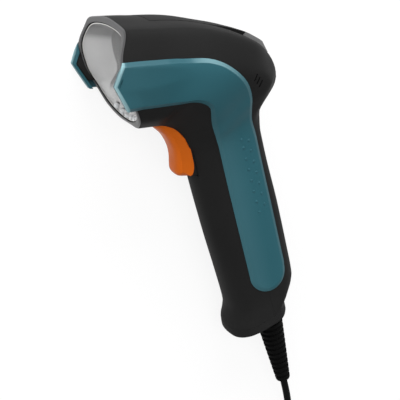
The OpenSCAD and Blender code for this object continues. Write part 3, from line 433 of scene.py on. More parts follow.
def mesh_object(name, bm, sharp=SHARP_FROM, place=lay_down):
    bmesh.ops.recalc_face_normals(bm, faces=bm.faces)
    bm.transform(place)
    for f in bm.faces:
        f.smooth = True
    mesh = bpy.data.meshes.new(name)
    bm.to_mesh(mesh)
    bm.free()
    mesh.set_sharp_from_angle(angle=math.radians(sharp))
    obj = bpy.data.objects.new(name, mesh)
    bpy.context.scene.collection.objects.link(obj)
    return obj


def cut(obj, bm):
    """Takes a shape out of the object."""
    cutter = mesh_object("cutter", bm)
    mod = obj.modifiers.new("cut", "BOOLEAN")
    mod.operation, mod.solver, mod.object = "DIFFERENCE", "EXACT", cutter
    bpy.context.view_layer.update()
    result = obj.evaluated_get(bpy.context.evaluated_depsgraph_get())
    done = bpy.data.meshes.new_from_object(result)
    obj.modifiers.clear()
    obj.data = done
    bpy.data.objects.remove(cutter)
    obj.data.set_sharp_from_angle(angle=math.radians(SHARP_FROM))


def soften(obj, width):
    mod = obj.modifiers.new("soften", "BEVEL")
    mod.width, mod.segments, mod.limit_method = width * MM, 2, "ANGLE"
    mod.angle_limit = math.radians(SHARP_FROM)
    mod.use_clamp_overlap = True
    mod.harden_normals = True
    return obj


def settle(obj, material, slot, *stands_for, body="scanner"):
    obj.data.materials.clear()
    obj.data.materials.append(material)
    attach(obj, body)
    if stands_for:
        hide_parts(*stands_for)
    return obj


def piece(name, bm, material, slot, *stands_for, **shape):
    """A piece of the scanner's fixed body, made from its mesh."""
    return settle(mesh_object(name, bm, **shape), material, slot, *stands_for)


# ---------------------------------------------------------------- material building
def new_group(name, inputs, outputs):
    """A node group, its input node's outputs and its output node's inputs."""
    tree = bpy.data.node_groups.new(name, "ShaderNodeTree")
    for label, kind, value in inputs:
        socket = tree.interface.new_socket(label, in_out="INPUT", socket_type="NodeSocket" + kind)
        if value is not None:
            socket.default_value = value
    for label, kind in outputs:
        tree.interface.new_socket(label, in_out="OUTPUT", socket_type="NodeSocket" + kind)
    return (tree, tree.nodes.new("NodeGroupInput").outputs,
            tree.nodes.new("NodeGroupOutput").inputs)


def add(tree, kind, links=None, **values):
    """A node with some of its properties or input values set, and its linked inputs."""
    node = tree.nodes.new("ShaderNode" + kind)
    for key, value in values.items():
        if hasattr(node, key):
            setattr(node, key, value)
        else:
            node.inputs[key.replace("_", " ")].default_value = value
    for key, source in (links or {}).items():
        tree.links.new(source, node.inputs[key])
    return node


def maths(tree, operation, a, b):
    node = add(tree, "Math", operation=operation)
    for k, value in enumerate((a, b)):
        if isinstance(value, (int, float)):
            node.inputs[k].default_value = value
        else:
            tree.links.new(value, node.inputs[k])
    return node.outputs[0]


def spread(tree, source, low, high, to_low=0.0, to_high=1.0):
    return add(tree, "MapRange", {"Value": source}, From_Min=low, From_Max=high, To_Min=to_low,
               To_Max=to_high).outputs["Result"]


def noise(tree, coords, scale, detail=2.0, rough=0.5):
    return add(tree, "TexNoise", {"Vector": coords}, Scale=scale, Detail=detail,
               Roughness=rough).outputs["Fac"]


def blend_colours(tree, factor, a, b):
    node = add(tree, "Mix", {0: factor}, data_type="RGBA")
    for k, value in ((6, a), (7, b)):
        if isinstance(value, tuple):
            node.inputs[k].default_value = value
        else:
            tree.links.new(value, node.inputs[k])
    return node.outputs[2]


# Moulded grain: fine spark-eroded pits over a soft, broad unevenness of the wall
moulded, g_in, g_out = new_group(
    "Moulded grain",
    [("Coordinates", "Vector", None), ("Grain scale", "Float", 2600.0),
     ("Grain depth", "Float", 0.35), ("Sheen spread", "Float", 0.06),
     ("Base roughness", "Float", 0.5)],
    [("Height", "Float"), ("Roughness", "Float"), ("Tone", "Float")])
pits = add(moulded, "TexNoise", {"Vector": g_in["Coordinates"], "Scale": g_in["Grain scale"]},
           Detail=3.0, Roughness=0.65).outputs["Fac"]
broad = noise(moulded, g_in["Coordinates"], 22.0)
cloudy = noise(moulded, g_in["Coordinates"], 160.0, 3.0)
shine = maths(moulded, "MULTIPLY", maths(moulded, "SUBTRACT", cloudy, 0.5), g_in["Sheen spread"])
tone = maths(moulded, "ADD", maths(moulded, "MULTIPLY", broad, 0.6),
             maths(moulded, "MULTIPLY", pits, 0.4))
moulded.links.new(maths(moulded, "MULTIPLY", pits, g_in["Grain depth"]), g_out["Height"])
moulded.links.new(maths(moulded, "ADD", g_in["Base roughness"], shine), g_out["Roughness"])
moulded.links.new(tone, g_out["Tone"])

# Handling: faint rubbed streaks and specks that change colour and gloss
handled, h_in, h_out = new_group(
    "Handling marks", [("Coordinates", "Vector", None), ("Amount", "Float", 0.3)],
    [("Mask", "Float")])
stretched = add(handled, "Mapping", {"Vector": h_in["Coordinates"]},
                Rotation=(0.2, 0.4, 0.5), Scale=(90.0, 900.0, 420.0)).outputs[0]
streaks = spread(handled, noise(handled, stretched, 1.0, 4.0, 0.7), 0.62, 0.8)
specks = spread(handled, noise(handled, h_in["Coordinates"], 900.0, 1.0), 0.7, 0.78)
marks = maths(handled, "MAXIMUM", streaks, maths(handled, "MULTIPLY", specks, 0.6))
patches = spread(handled, noise(handled, h_in["Coordinates"], 40.0), 0.45, 0.7)
handled.links.new(
    maths(handled, "MULTIPLY", maths(handled, "MULTIPLY", marks, patches), h_in["Amount"]),
    h_out["Mask"])


def colour(hexa, by=1.0, more=0.0):
    """A colour as written on a screen, for a node's socket, or a paler or darker one."""
    parts = [int(hexa[k:k + 2], 16) / 255 for k in (0, 2, 4)]
    parts = [c / 12.92 if c <= 0.04045 else ((c + 0.055) / 1.055) ** 2.4 for c in parts]
    return tuple(min(1.0, c * by + more) for c in parts) + (1,)


def finish_of(name):
    material = bpy.data.materials.new(name)
    material.use_nodes = True
    tree = material.node_tree
    coords = tree.nodes.new("ShaderNodeTexCoord").outputs["Object"]
    return material, tree, tree.nodes["Principled BSDF"], coords


def grain_of(tree, coords, rough, **values):
    return add(tree, "Group", {"Coordinates": coords}, node_tree=moulded, Base_roughness=rough,
               **values).outputs


def dress(tree, shader, tint, rough, height, strength, distance, **values):
    """Gives the shader its colour, roughness and relief, and sets others of its inputs."""
    relief = add(tree, "Bump", {"Height": height}, Strength=strength, Distance=distance)
    for key, source in (("Base Color", tint), ("Roughness", rough), ("Normal", relief.outputs[0])):
        tree.links.new(source, shader.inputs[key])
    for key, value in values.items():
        shader.inputs[key.replace("_", " ")].default_value = value


def plastic(name, dark, pale, rough, grain_scale, grain_depth, wear, specular=0.2, edge=None):
    """Moulded plastic or rubber: two close tones, grain in the surface and slight handling.

    edge is the colour painted where the mesh's painted light attribute says: a painted highlight on
    the pads, a painted shade in the reflector."""
    material, tree, shader, coords = finish_of(name)
    grain = grain_of(tree, coords, rough, Grain_scale=grain_scale, Grain_depth=grain_depth)
    marks = add(tree, "Group", {"Coordinates": coords}, node_tree=handled,
                Amount=wear).outputs["Mask"]
    toned = blend_colours(tree, spread(tree, grain["Tone"], 0.35, 0.65), colour(dark),
                          colour(pale))
    wear_and_painted_light = blend_colours(tree, marks, toned, colour(pale, 1.6, 0.008))
    if edge:
        # Painted light from the mesh's attribute: the highlight colour on the pads, the shade
        # colour in the reflector
        where = add(tree, "Attribute", attribute_name="painted_light").outputs["Fac"]
        wear_and_painted_light = blend_colours(tree, where, wear_and_painted_light, colour(edge))
    polished = maths(tree, "ADD", grain["Roughness"], maths(tree, "MULTIPLY", marks, -0.12))
    dress(tree, shader, wear_and_painted_light, polished, grain["Height"], 0.3, 0.00006,
          Specular_IOR_Level=specular)
    return material


def metal(name, tint, rough, along):
    """Drawn, pressed or plated metal with fine lines, which along stretches."""
    material, tree, shader, coords = finish_of(name)
    drawn = add(tree, "Mapping", {"Vector": coords}, Scale=along).outputs[0]
    lines = noise(tree, drawn, 4.0, 3.0, 0.7)
    grain = grain_of(tree, coords, rough, Grain_scale=1400.0)
    dress(tree, shader, blend_colours(tree, lines, colour(tint, 0.72), colour(tint)),
          grain["Roughness"], lines, 0.12, 0.00004, Metallic=1.0)
    return material


def glassy(name, tint, rough, clear, ior):
    """Clear moulded plastic or glass: clear says how much light passes."""
    material, tree, shader, coords = finish_of(name)
    haze = noise(tree, coords, 300.0, 3.0)
    dress(tree, shader, blend_colours(tree, haze, colour(tint, 0.93), colour(tint)),
          spread(tree, haze, 0.3, 0.8, rough, rough + 0.06), noise(tree, coords, 60.0, 1.0),
          0.05, 0.0001, Transmission_Weight=clear, IOR=ior)
    return material


def board_finish(name, mask, trace):
    """Solder mask over copper tracks, in a small square pattern."""
    material, tree, shader, coords = finish_of(name)
    laid = add(tree, "Mapping", {"Vector": coords}, Rotation=(0.13, 0.0, -0.25)).outputs[0]
    tracks = add(tree, "TexBrick", {"Vector": laid}, Scale=420.0, Mortar_Size=0.09,
                 Mortar_Smooth=0.2).outputs["Fac"]
    dress(tree, shader, blend_colours(tree, tracks, colour(mask), colour(trace)),
          grain_of(tree, coords, 0.35)["Roughness"], tracks, 0.2, 0.00005, Coat_Weight=0.3)
    return material


charcoal = plastic("Charcoal housing", "161616", "1c1c1c", 0.6, 2400.0, 0.4, 0.12, 0.045)
# Its edge colour is a painted highlight on the pads' bevels and the wings' front chamfers
soft_teal = plastic("Soft teal grip", "1e4750", "244f58", 0.46, 3000.0, 0.2, 0.06, 0.12,
                    edge="8db0b6")
bezel_grey = plastic("Bezel grey", "3c3c3d", "474748", 0.4, 3000.0, 0.15, 0.1, 0.25)
black_core = plastic("Black plastic", "0c0c0c", "131313", 0.45, 2600.0, 0.25, 0.1, 0.08)
black_rubber = plastic("Black rubber", "050505", "0a0a0a", 0.65, 3200.0, 0.3, 0.04, 0.03)
inlay_dark = plastic("Roof inlay", "1b1b1b", "212121", 0.62, 3400.0, 0.1, 0.1, 0.03)
# Its edge colour is a painted shade on the reflector's roof and back plate
pale_plastic = plastic("Pale reflector", "c4c4c4", "cecece", 0.5, 2600.0, 0.12, 0.05,
                       edge="868686")
light_grey = plastic("Frosted light bar", "747474", "7e7e7e", 0.4, 2800.0, 0.1, 0.05, 0.1)
orange = plastic("Orange trigger", "ac500f", "bb5a15", 0.34, 2800.0, 0.15, 0.12, 0.05)
white_plastic = plastic("White plastic", "d5d5d2", "e0e0dd", 0.4, 2600.0, 0.15, 0.05)
cable_black = plastic("Cable sheath", "060606", "0c0c0c", 0.55, 3600.0, 0.4, 0.1, 0.04)
clear_pane = glassy("Clear pane", "fafafa", 0.02, 1.0, 1.02)
clear_dome = glassy("Lamp dome", "f6f8fa", 0.12, 0.25, 1.5)
lens_glass = glassy("Coated lens", "8c96c8", 0.03, 0.7, 1.6)
plug_clear = glassy("Clear plug", "dfe4e6", 0.12, 0.85, 1.5)
steel = metal("Pin and spring steel", "b9babb", 0.3, (60.0, 60.0, 900.0))
tray_steel = metal("Pressed tray", "9a9b9d", 0.42, (500.0, 40.0, 60.0))
plug_steel = metal("Plated plug shell", "c4c5c8", 0.25, (40.0, 500.0, 40.0))
board_green = board_finish("Green circuit board", "0f4427", "1d6a3c")
ribbon_amber = board_finish("Amber flat cable", "8a5213", "b4742a")

# ---------------------------------------------------------------- camera
# Its place and its axes to the right, up and back, in the upright frame
EYE = (-132.8, 113.7, 362.4)
CAMERA_AXES = [(0.9152, 0.0, 0.4029), (0.1281, 0.9480, -0.2909), (-0.3820, 0.3179, 0.8677)]
upright = Matrix.Rotation(TILT, 3, "X")
camera_data = bpy.data.cameras.new("Camera")
camera_data.lens, camera_data.sensor_width, camera_data.clip_start = 78.3, 36.0, 0.01
camera = bpy.data.objects.new("Camera", camera_data)
camera.matrix_world = Matrix.Translation(lay_down @ Vector(EYE)) @ Matrix(
    [upright @ Vector(axis) for axis in CAMERA_AXES]).transposed().to_4x4()
bpy.context.scene.collection.objects.link(camera)
bpy.context.scene.camera = camera

# ---------------------------------------------------------------- cord
TIP = Vector((48.4269, -97.341, 10.1778))
CORD_R = CORD_D / 2
FLOOR_Z = CORD_R + 0.05
# Places from the tip of the strain relief: sideways, along, and the height's share of the tip's
RUN = [(0, 0, 1), (2.4, -9.6, 0.85), (4.4, -19, 0.62), (5.7, -28.5, 0.36), (6.3, -38, 0.14),
       (6.5, -48.5, 0.03), (6.3, -60, 0), (5.8, -72, 0)]
TAIL = [(-24, -116.0, 0), (-33, -117.2, 0.05), (-43, -118.2, 0.2), (-52, -119.7, 0.28)]
# The end of the winding, which comes down outside the coil: degrees, radius and height
COIL_END = [(270, 21.7, 12.5), (290, 22.6, 12.8), (310, 24.3, 13.1), (330, 26.5, 13.2),
            (350, 28.7, 12.7), (368, 30.4, 11.3), (384, 31.4, 9.1), (400, 31.7, 6.5),
            (416, 31.8, 4.1), (430, 31.8, 2.5), (444, 32.0, 1.96)]
COIL_AT = Vector((TIP.x - 22, TIP.y - 84))
LAYER_H = 3.45
LAYER_HUMP = 0.42
# Radius of the winding before and after each pass of the crossing, and its layer
PASSES = [(27.4, 23.5, 0), (23.5, 19.6, 0), (19.6, 15.7, 0), (15.7, 17.65, 1), (17.65, 21.55, 1),
          (21.55, 25.45, 1), (25.45, 27.4, 2), (27.4, 23.5, 2), (23.5, 19.6, 2), (19.6, 15.7, 2),
          (15.7, 17.65, 3), (17.65, 21.55, 3)]
LAST_TURN = 250        # degrees of the last pass
CROSS_FROM, CROSS_TO = 70.0, 210.0
CLIMB_FROM, CLIMB_TO = -70.0, 60.0


def ease(t):
    t = clamp(t)
    return t * t * (3 - 2 * t)


def on_floor(p):
    return Vector((TIP.x + p[0], TIP.y + p[1], FLOOR_Z + (TIP.z - FLOOR_Z) * p[2]))


def round_coil(turned_by, r, z):
    a = math.radians(-turned_by)
    return Vector((COIL_AT.x + r * math.cos(a), COIL_AT.y + r * math.sin(a), z))


def climbed(before, after, here):
    return before + (after - before) * ease((here - CLIMB_FROM) / (CLIMB_TO - CLIMB_FROM))


def coil_pt(turned_by):
    """The winding's place after so many degrees, clockwise as seen from above."""
    k = min(len(PASSES) - 1, int(turned_by // 360))
    here = turned_by - 360 * k
    start, end, layer = PASSES[k]
    r = start + (end - start) * ease((here - CROSS_FROM) / (CROSS_TO - CROSS_FROM))
    low = layer
    before = PASSES[k - 1][2] if k else layer
    if before != layer:
        low = climbed(before, layer, here)
    after = PASSES[k + 1][2] if k + 1 < len(PASSES) else layer
    if after != layer:
        low = climbed(layer, after, here - 360)
    hump = ease((here - 40) / 50) * ease((240 - here) / 50)
    return round_coil(turned_by, r, FLOOR_Z + low * (LAYER_H + LAYER_HUMP * hump))


cord_points = [on_floor(p) for p in RUN]
cord_points += [coil_pt(k) for k in range(0, 360 * (len(PASSES) - 1) + LAST_TURN + 1, 15)]
cord_points += [round_coil(*spot) for spot in COIL_END] + [on_floor(p) for p in TAIL]
cord_curve = bpy.data.curves.new("cord", "CURVE")
cord_curve.dimensions = "3D"
spline = cord_curve.splines.new("BEZIER")
last = len(cord_points) - 1
spline.bezier_points.add(last)
for i, (point, place) in enumerate(zip(spline.bezier_points, cord_points)):
    ahead = cord_points[min(last, i + 1)]
    behind = cord_points[max(0, i - 1)]
    way = (ahead - behind).normalized()
    if i == 0:    # straight out of the strain relief
        way = Vector((math.sin(math.radians(LEAN)), -math.cos(math.radians(LEAN)) *
                      math.cos(TILT), -0.12)).normalized()
    point.co = place * MM
    point.handle_left_type = point.handle_right_type = "FREE"
    point.handle_left = (place - way * (place - behind).length / 3) * MM
    point.handle_right = (place + way * (ahead - place).length / 3) * MM
cord_curve.bevel_depth = CORD_R * MM
cord_curve.bevel_resolution = 5
cord_curve.resolution_u = 6
cord_curve.use_fill_caps = True
cord_obj = bpy.data.objects.new("cord", cord_curve)
bpy.context.scene.collection.objects.link(cord_obj)
settle(cord_obj, cable_black, "cable_rubber", "cord_run", "cord_coil", "cord_tail")

# ---------------------------------------------------------------- housing
INLAY_FROM, INLAY_TO, PIPE_FROM, PIPE_TO = -1.6, 50.2, 36.0, 48.6
SCREW_AT = (24.0, GRIP_LEN - 25.5)
BOARD_V = 47.0
PIVOT = Vector((6.0, 27.0, 0.0))
SLOT_HALF_W = TRIGGER_W / 2 + 0.5
SLOT_LOW, SLOT_HIGH = (1.2, -4.6, -SLOT_HALF_W), (25.4, PIVOT.y + 4, SLOT_HALF_W)
SOUND_SLOT, SOUND_AT, SOUND_STEP, SOUND_TURN = (0.6, 3.4, 15.6), (41.2, 42.0), 1.6, -22
BOSS_R, BOSS_LEN = 3.0, 4.6
# The foot's lip, and its lean: where it sets in above the grip's end, over what length, how far
# the front goes down, by how much less the back does, and the grip's front and depth there
LIP_AT = CAP_TO - 4.5
LEAN_ABOVE, LEAN_OVER, LEAN_DOWN, LEAN_LESS = 25, 16, 3.9, 5.2
FOOT_FRONT, FOOT_DEPTH = 16, 34
LIP_SWELL, LIP_CREST, LIP_TUCK = 0.02, 0.05, 0.11


def even(start, stop, step):
    count = max(1, round((stop - start) / step))
    return [start + (stop - start) * k / count for k in range(count + 1)]


HEAD_ROWS = [k / 10 for k in range(10)]
BODY_ROWS = (even(0, 45, 3) + even(45, TURN, 1.5)[1:] + even(TURN, GRIP_END - 26, 3)[1:]
             + even(GRIP_END - 26, GRIP_END, 1.3)[1:])


def shell(angles):
    rows = HEAD_ROWS + BODY_ROWS
    sets = [angles(0)] * len(HEAD_ROWS) + [angles(u) for u in BODY_ROWS]

    def at(off):
        def place(i, j):
            if i < len(HEAD_ROWS):
                return shell_pt(rows[i], sets[i][j], off)
            return skin(section(rows[i]), sets[i][j], off)
        return place
    return plate(len(rows), len(sets[0]), at(0), at(-WALL))


def inlay_angle(u):
    return math.degrees(math.atan(smooth(INLAY_W, u) / (smooth(STATIONS, u, 1) - middle(u))))


def inlay(start, stop, out, inner, side):
    rows = even(start, stop, 1.6)
    steps = [k / 10 - 1 for k in range(21)]

    def at(off, rises):
        return lambda i, j: skin(section(rows[i]), steps[j] * (inlay_angle(rows[i]) - side),
                                 off + (smooth(INLAY_RISE, rows[i]) if rises else 0))
    return plate(len(rows), len(steps), at(out, True), at(inner, False))


def on_grip(s, v):
    return turn(LEAN, "Z") @ move(v, -s, 0)


def across_grip(bm, s, v0, v1, radius):
    add_cylinder(bm, radius, v1 - v0, on_grip(s, v0) @ turn(90, "Y"))


def lean_foot(bm):
    """Draws the low end of the grip down at the front and up at the back, and widens it to a
    lip round the foot."""
    for vert in bm.verts:
        p = on_grip(0, 0).inverted() @ vert.co
        share = clamp((-p.y - GRIP_LEN + LEAN_ABOVE) / LEAN_OVER)
        share *= share * (3 - 2 * share)
        lip = clamp((-p.y - GRIP_LEN + 12) / (LIP_AT - GRIP_LEN + 12))
        wide = (1 + LIP_SWELL * lip + LIP_CREST * lip ** 5
                - LIP_TUCK * clamp((-p.y - LIP_AT) / 2.2))
        if p.z < 0:    # the side that the scanner lies on
            wide = min(wide, 1)
        down = share * (LEAN_DOWN - LEAN_LESS * (p.x - FOOT_FRONT) / FOOT_DEPTH)
        vert.co = on_grip(down, 0) @ Vector((p.x, p.y, p.z * wide))
    return bm


rear = mesh_object("rear_shell", lean_foot(shell(rear_angles)))
cut(rear, inlay(INLAY_FROM, INLAY_TO, 3, -RECESS, 0))
holes = bmesh.new()
for s in SCREW_AT:
    across_grip(holes, s, GRIP_BACK - 3.4, GRIP_BACK + 3, 2.5)
for side in (1, -1):
    for k in range(3):
        slot = add_box(holes, (0, 0, 0), SOUND_SLOT)
        turn_in = move(SOUND_AT[0] + SOUND_STEP * k, SOUND_AT[1] - SOUND_STEP * k,
                       HW - SOUND_SLOT[2]) @ turn(SOUND_TURN, "Z")
        bmesh.ops.transform(holes, matrix=turn_in, verts=slot)
        if side < 0:
            mirror(holes, slot)
cut(rear, holes)
shafts = bmesh.new()
for s in SCREW_AT:
    across_grip(shafts, s, BOARD_V, GRIP_BACK - 2.5, 1.4)
cut(rear, shafts)
settle(rear, charcoal, "charcoal_shell", "rear_housing")

front = mesh_object("front_shell", lean_foot(shell(front_angles)))
slot_cut = bmesh.new()
add_box(slot_cut, SLOT_LOW, SLOT_HIGH)
cut(front, slot_cut)
settle(front, charcoal, "charcoal_shell", "front_housing")
bosses = bmesh.new()
for z in (SLOT_HALF_W, -SLOT_HALF_W - BOSS_LEN):
    add_cylinder(bosses, BOSS_R, BOSS_LEN, move(PIVOT.x, PIVOT.y, z), 40)
piece("pivot_bosses", bosses, charcoal, "charcoal_shell")
piece("roof_panel", inlay(INLAY_FROM + 0.15, PIPE_FROM - 0.15, INLAY_PROUD, -RECESS + 0.08, 0.4),
      inlay_dark, "roof_inlay", "top_panel")
piece("light_bar", inlay(PIPE_FROM, PIPE_TO, INLAY_PROUD, -RECESS + 0.08, 1.5), light_grey,
      "light_pipe", "indicator_light_pipe")

# ---------------------------------------------------------------- side pads
PAD_GAP = 0.28
EDGE_H = 0.3
ROUND_V, ROUND_R, ROUND_U = 40.4, 9.7, GRIP_END - 23.5
APEX_K = (WING_TOP - WING_APEX) / (WING_TOP - WING_LOW)
FLARE_LEN = 9.0
CHAMFER = 1.15    # of the wing's front edge
# Painted highlight: how pale the pad's upper edge is painted along the body, and the row from which
# its lower half is made lighter too
EDGE_HIGHLIGHT = [(0, 0.0), (8, 0.01), (13, 0.22), (20, 0.34), (28, 0.24), (40, 0.05), (80, 0.01),
            (150, 0.02)]
GRIP_ROW = 29
WING_ROWS = 5    # they come before the rows of the head
BEVEL_K = PAD_BEVEL / 20
ACROSS = [0, BEVEL_K * 0.45, BEVEL_K * 0.88, BEVEL_K, BEVEL_K * 1.2, 0.13, 0.18, 0.22, 0.26, 0.31,
          0.36, 0.41, 0.44, APEX_K, 0.47, 0.5, 0.55, 0.6, 0.65, 0.7, 0.75, 0.8, 0.85,
          1 - BEVEL_K * 1.2, 1 - BEVEL_K, 1 - BEVEL_K * 0.88, 1 - BEVEL_K * 0.45, 1]


def pad_v(u, k):
    return smooth(PAD_EDGES, u, 1) * (1 - k) + smooth(PAD_EDGES, u, 2) * k


def lift(u):
    return PAD_PROUD + (PAD_LOW - PAD_PROUD) * clamp((u - 30) / 32)


def bevelled(k, off, low):
    """The pad's height over the shell across its width, with a chamfer along both edges."""
    return low + (off - low) * clamp(min(k, 1 - k) / BEVEL_K)


def flare(k, lead):
    return WING_FLARE * min(1, k / APEX_K) * max(0, 1 - lead / FLARE_LEN)


def wing_pt(k, lead, off):
    v = pad_v(-HEAD_REACH, k)
    return side_pt(head_section(wing_x(v) + lead), v, off + flare(k, lead))


def fold_at(k):
    v = pad_v(-HEAD_REACH, k)
    return clamp((rim_x(v) - 0.95 - wing_x(v)) / 1.8)


def fold_pt(k, lead, more, depth):
    f = fold_at(k)
    return wing_pt(k, lead + more * f, PAD_GAP * (1 - f) - depth * f)


def head_pt(f, k, off):
    x = (rim_x(pad_v(-HEAD_REACH, k)) + 1.2) * (1 - f)
    return side_pt(head_section(x), pad_v(x, k), off)


def end_pt(q, k, off, low):
    u = ROUND_U + ROUND_R * math.sin(math.radians(q))
    v = ROUND_V + ROUND_R * math.cos(math.radians(q)) * (1 - 2 * k)
    e = ROUND_R - math.hypot(u - ROUND_U, v - ROUND_V)
    return side_pt(section(u), v, low + (off - low) * clamp(e / PAD_BEVEL))


HEAD_PARTS = HEAD_ROWS[1:]
PAD_ROWS = even(0, 45, 3) + even(45, TURN, 2)[1:] + even(TURN, ROUND_U - 1.5, 3)[1:]
END_TURNS = [0, 8, 16, 24, 32, 40, 47, 54, 60, 66, 71, 76, 80, 83.5, 86.5]


def pad_row_makers():
    """For each row of the pad, from the wing to its end: the place of a column on the outer or the
    inner side, and how strongly a painted highlight lies on the row's middle and on its edges."""
    top = PAD_PROUD
    # The first rows are the wing's front chamfer, which gets a strong painted highlight
    made = [
        (lambda k, outer: wing_pt(k, 0, bevelled(k, top - 1.3, EDGE_H)) if outer
         else fold_pt(k, 0.1, 0.1, WING_FOLD), 0.8, 0.8),
        (lambda k, outer: wing_pt(k, 0.4 * CHAMFER, bevelled(k, top - 0.75, EDGE_H)) if outer
         else fold_pt(k, 0.2, 0.7, WING_FOLD + 0.3), 0.65, 0.6),
        (lambda k, outer: wing_pt(k, 0.92 * CHAMFER, bevelled(k, top - 0.08, EDGE_H)) if outer
         else fold_pt(k, 0.25, 1.35, WING_FOLD + 0.6), 0.45, 0.4),
        (lambda k, outer: wing_pt(k, 1.1 * CHAMFER, bevelled(k, top, EDGE_H)) if outer
         else wing_pt(k, 0.4 + 1.4 * fold_at(k), PAD_GAP), 0.03, 0.12),
        (lambda k, outer: wing_pt(k, 2.2 if outer else 2.4,
                                  bevelled(k, top, EDGE_H) if outer else PAD_GAP), 0.02, 0.04),
    ]
    for f in HEAD_PARTS:
        made.append((lambda k, outer, f=f: head_pt(
            f, k, bevelled(k, lift(0), EDGE_H) if outer else PAD_GAP), 0.02 - 0.018 * f, 0.03))
    for u in PAD_ROWS:
        made.append((lambda k, outer, u=u: side_pt(
            section(u), pad_v(u, k), bevelled(k, lift(u), EDGE_H) if outer else PAD_GAP),
            0.0, smooth(EDGE_HIGHLIGHT, u)))
    for q in END_TURNS:
        made.append((lambda k, outer, q=q: end_pt(q, k, PAD_LOW if outer else PAD_GAP,
                                                  EDGE_H if outer else PAD_GAP), 0.0, 0.03))
    return made


def side_pad():
    makers = pad_row_makers()

    # Painted highlight on the wing's chamfer and the pad's bevels; on the grip the lower half is
    # made a little lighter too
    def painted_light(i, j):
        place, middle_highlight, edge_highlight = makers[i]
        k = ACROSS[j]
        if i < WING_ROWS:
            return edge_highlight if k <= BEVEL_K else middle_highlight
        if k <= BEVEL_K:
            return edge_highlight
        on_grip_share = clamp((i - GRIP_ROW) / 9)
        if k >= 1 - BEVEL_K:
            return 0.05 * on_grip_share
        return middle_highlight + 0.035 * clamp((k - 0.4) / 0.4) * on_grip_share

    bm = plate(len(makers), len(ACROSS), lambda i, j: makers[i][0](ACROSS[j], True),
               lambda i, j: makers[i][0](ACROSS[j], False), painted_light)
    bmesh.ops.remove_doubles(bm, verts=bm.verts, dist=1e-4)
    # The lying scanner rests on a narrow flat of the right pad, and the left one is its mirror
    normal = Vector((0, math.sin(TILT), -math.cos(TILT)))
    for v in bm.verts:
        past = -(v.co.dot(normal) + REST_H)
        if past > 0:
            v.co += normal * past
    return bm


def add_bumps(bm):
    """Two rows of small domes along the grip."""
    spots = [(5.65 * k - 4.7, 41.8 + 0.13 * k) for k in range(8)]
    spots += [(5.65 * k - 2, 45.3 + 0.16 * k) for k in range(7)]
    for s, v in spots:
        here = section(TURN + s)
        low, top = side_pt(here, v, PAD_LOW - 0.05), side_pt(here, v, PAD_LOW + 0.3)
        dome = bmesh.ops.create_uvsphere(bm, u_segments=16, v_segments=8, radius=0.78)["verts"]
        turn_to = (top - low).to_track_quat("Z", "Y").to_matrix().to_4x4()
        bmesh.ops.transform(bm, verts=dome, matrix=Matrix.Translation(low) @ turn_to
                            @ Matrix.Diagonal((1, 1, 0.5, 1)))


for name, node in (("near_pad", "left_side_pad"), ("far_pad", "right_side_pad")):
    pad = side_pad()
    add_bumps(pad)
    if name == "far_pad":
        mirror(pad, pad.verts)
    piece(name, pad, soft_teal, "teal_grip", node, sharp=28)

# ---------------------------------------------------------------- mouth
MOUTH_ANGLES = ring_angles(-10, 5)
# Width of the frame's face round the mouth: angle from the roof, and the width there
FACE_W = [(0, 2.35), (30, 2.35), (60, 2.8), (80, 3.1), (90, 3.2), (105, 2.8), (120, 2.4),
          (135, 2.35), (150, 2.75), (165, 3.0), (180, 3.1)]
OPENING_CRISP = [(0, 13), (85, 13), (110, 19), (180, 19)]


def from_roof(a):
    """The angle from the roof, the same on both sides."""
    return min(a % 360, 360 - a % 360)


def opening_pt(a, more, lead):
    """The mouth's opening: more millimetres inside the frame's inner edge."""
    off = -(smooth(FACE_W, from_roof(a)) + more)

    def cut_at(x):
        s = head_section(round(x, 3))
        return (s[0], smooth(OPENING_CRISP, from_roof(a))) + s[2:]
    return skin(cut_at(rim_x(skin(cut_at(-10), a, off).y) + lead), a, off)


def mouth_band(profile):
    """A band round the mouth from places ("rim" or "opening", lead, depth below it)."""
    def place(i, j):
        kind, lead, depth = profile[i]
        a = MOUTH_ANGLES[j]
        return mouth_pt(a, -depth, lead) if kind == "rim" else opening_pt(a, depth, lead)
    return ring(len(profile), len(MOUTH_ANGLES), place)


piece("mouth_frame", mouth_band([
    ("rim", -BEZEL_GAP, 0), ("rim", -0.66, 0.34), ("rim", -0.76, 0.48), ("rim", -0.78, 0.62),
    ("opening", -0.62, -0.25), ("opening", -0.52, -0.06), ("opening", -0.4, 0),
    ("opening", -0.2, 0)]), bezel_grey, "bezel", "nose_frame")


def wing_core():
    ks = [0.81, 0.72, 0.63, 0.54, APEX_K, 0.38, 0.31, 0.24, 0.17]

    def at(off):
        def place(i, j):
            k = ks[i]
            v = pad_v(-HEAD_REACH, k)
            t = j / 4
            return (wing_pt(k, 1.95, off) * (1 - t)
                    + side_pt(head_section(rim_x(v) - 0.1), v, off - 0.2) * t)
        return place
    return plate(len(ks), 5, at(-0.3), at(0.3 - BEZEL_W))


for name in ("near_wing_core", "far_wing_core"):
    core = wing_core()
    if name == "far_wing_core":
        mirror(core, core.verts)
    piece(name, core, black_core, "black_plastic")
piece("window_seal", mouth_band([
    ("opening", -0.16, 0.04), ("opening", 0.2, 0.04), ("opening", 0.2, 0.4),
    ("opening", -0.06, 0.4), ("opening", -0.16, 0.3)]), black_rubber, "black_rubber",
    "window_gasket")
PANE_ANGLES = [a for a in MOUTH_ANGLES if 3 < a < 177]


def pane_place(lead):
    def place(i, j):
        p = opening_pt(PANE_ANGLES[i], 0.45, 0.3)
        return Vector((p.x + lead, p.y, p.z * (1 - j / 8)))
    return place


piece("window_pane", plate(len(PANE_ANGLES), 17, pane_place(0), pane_place(1.0)), clear_pane,
      "clear_window", "scan_window")
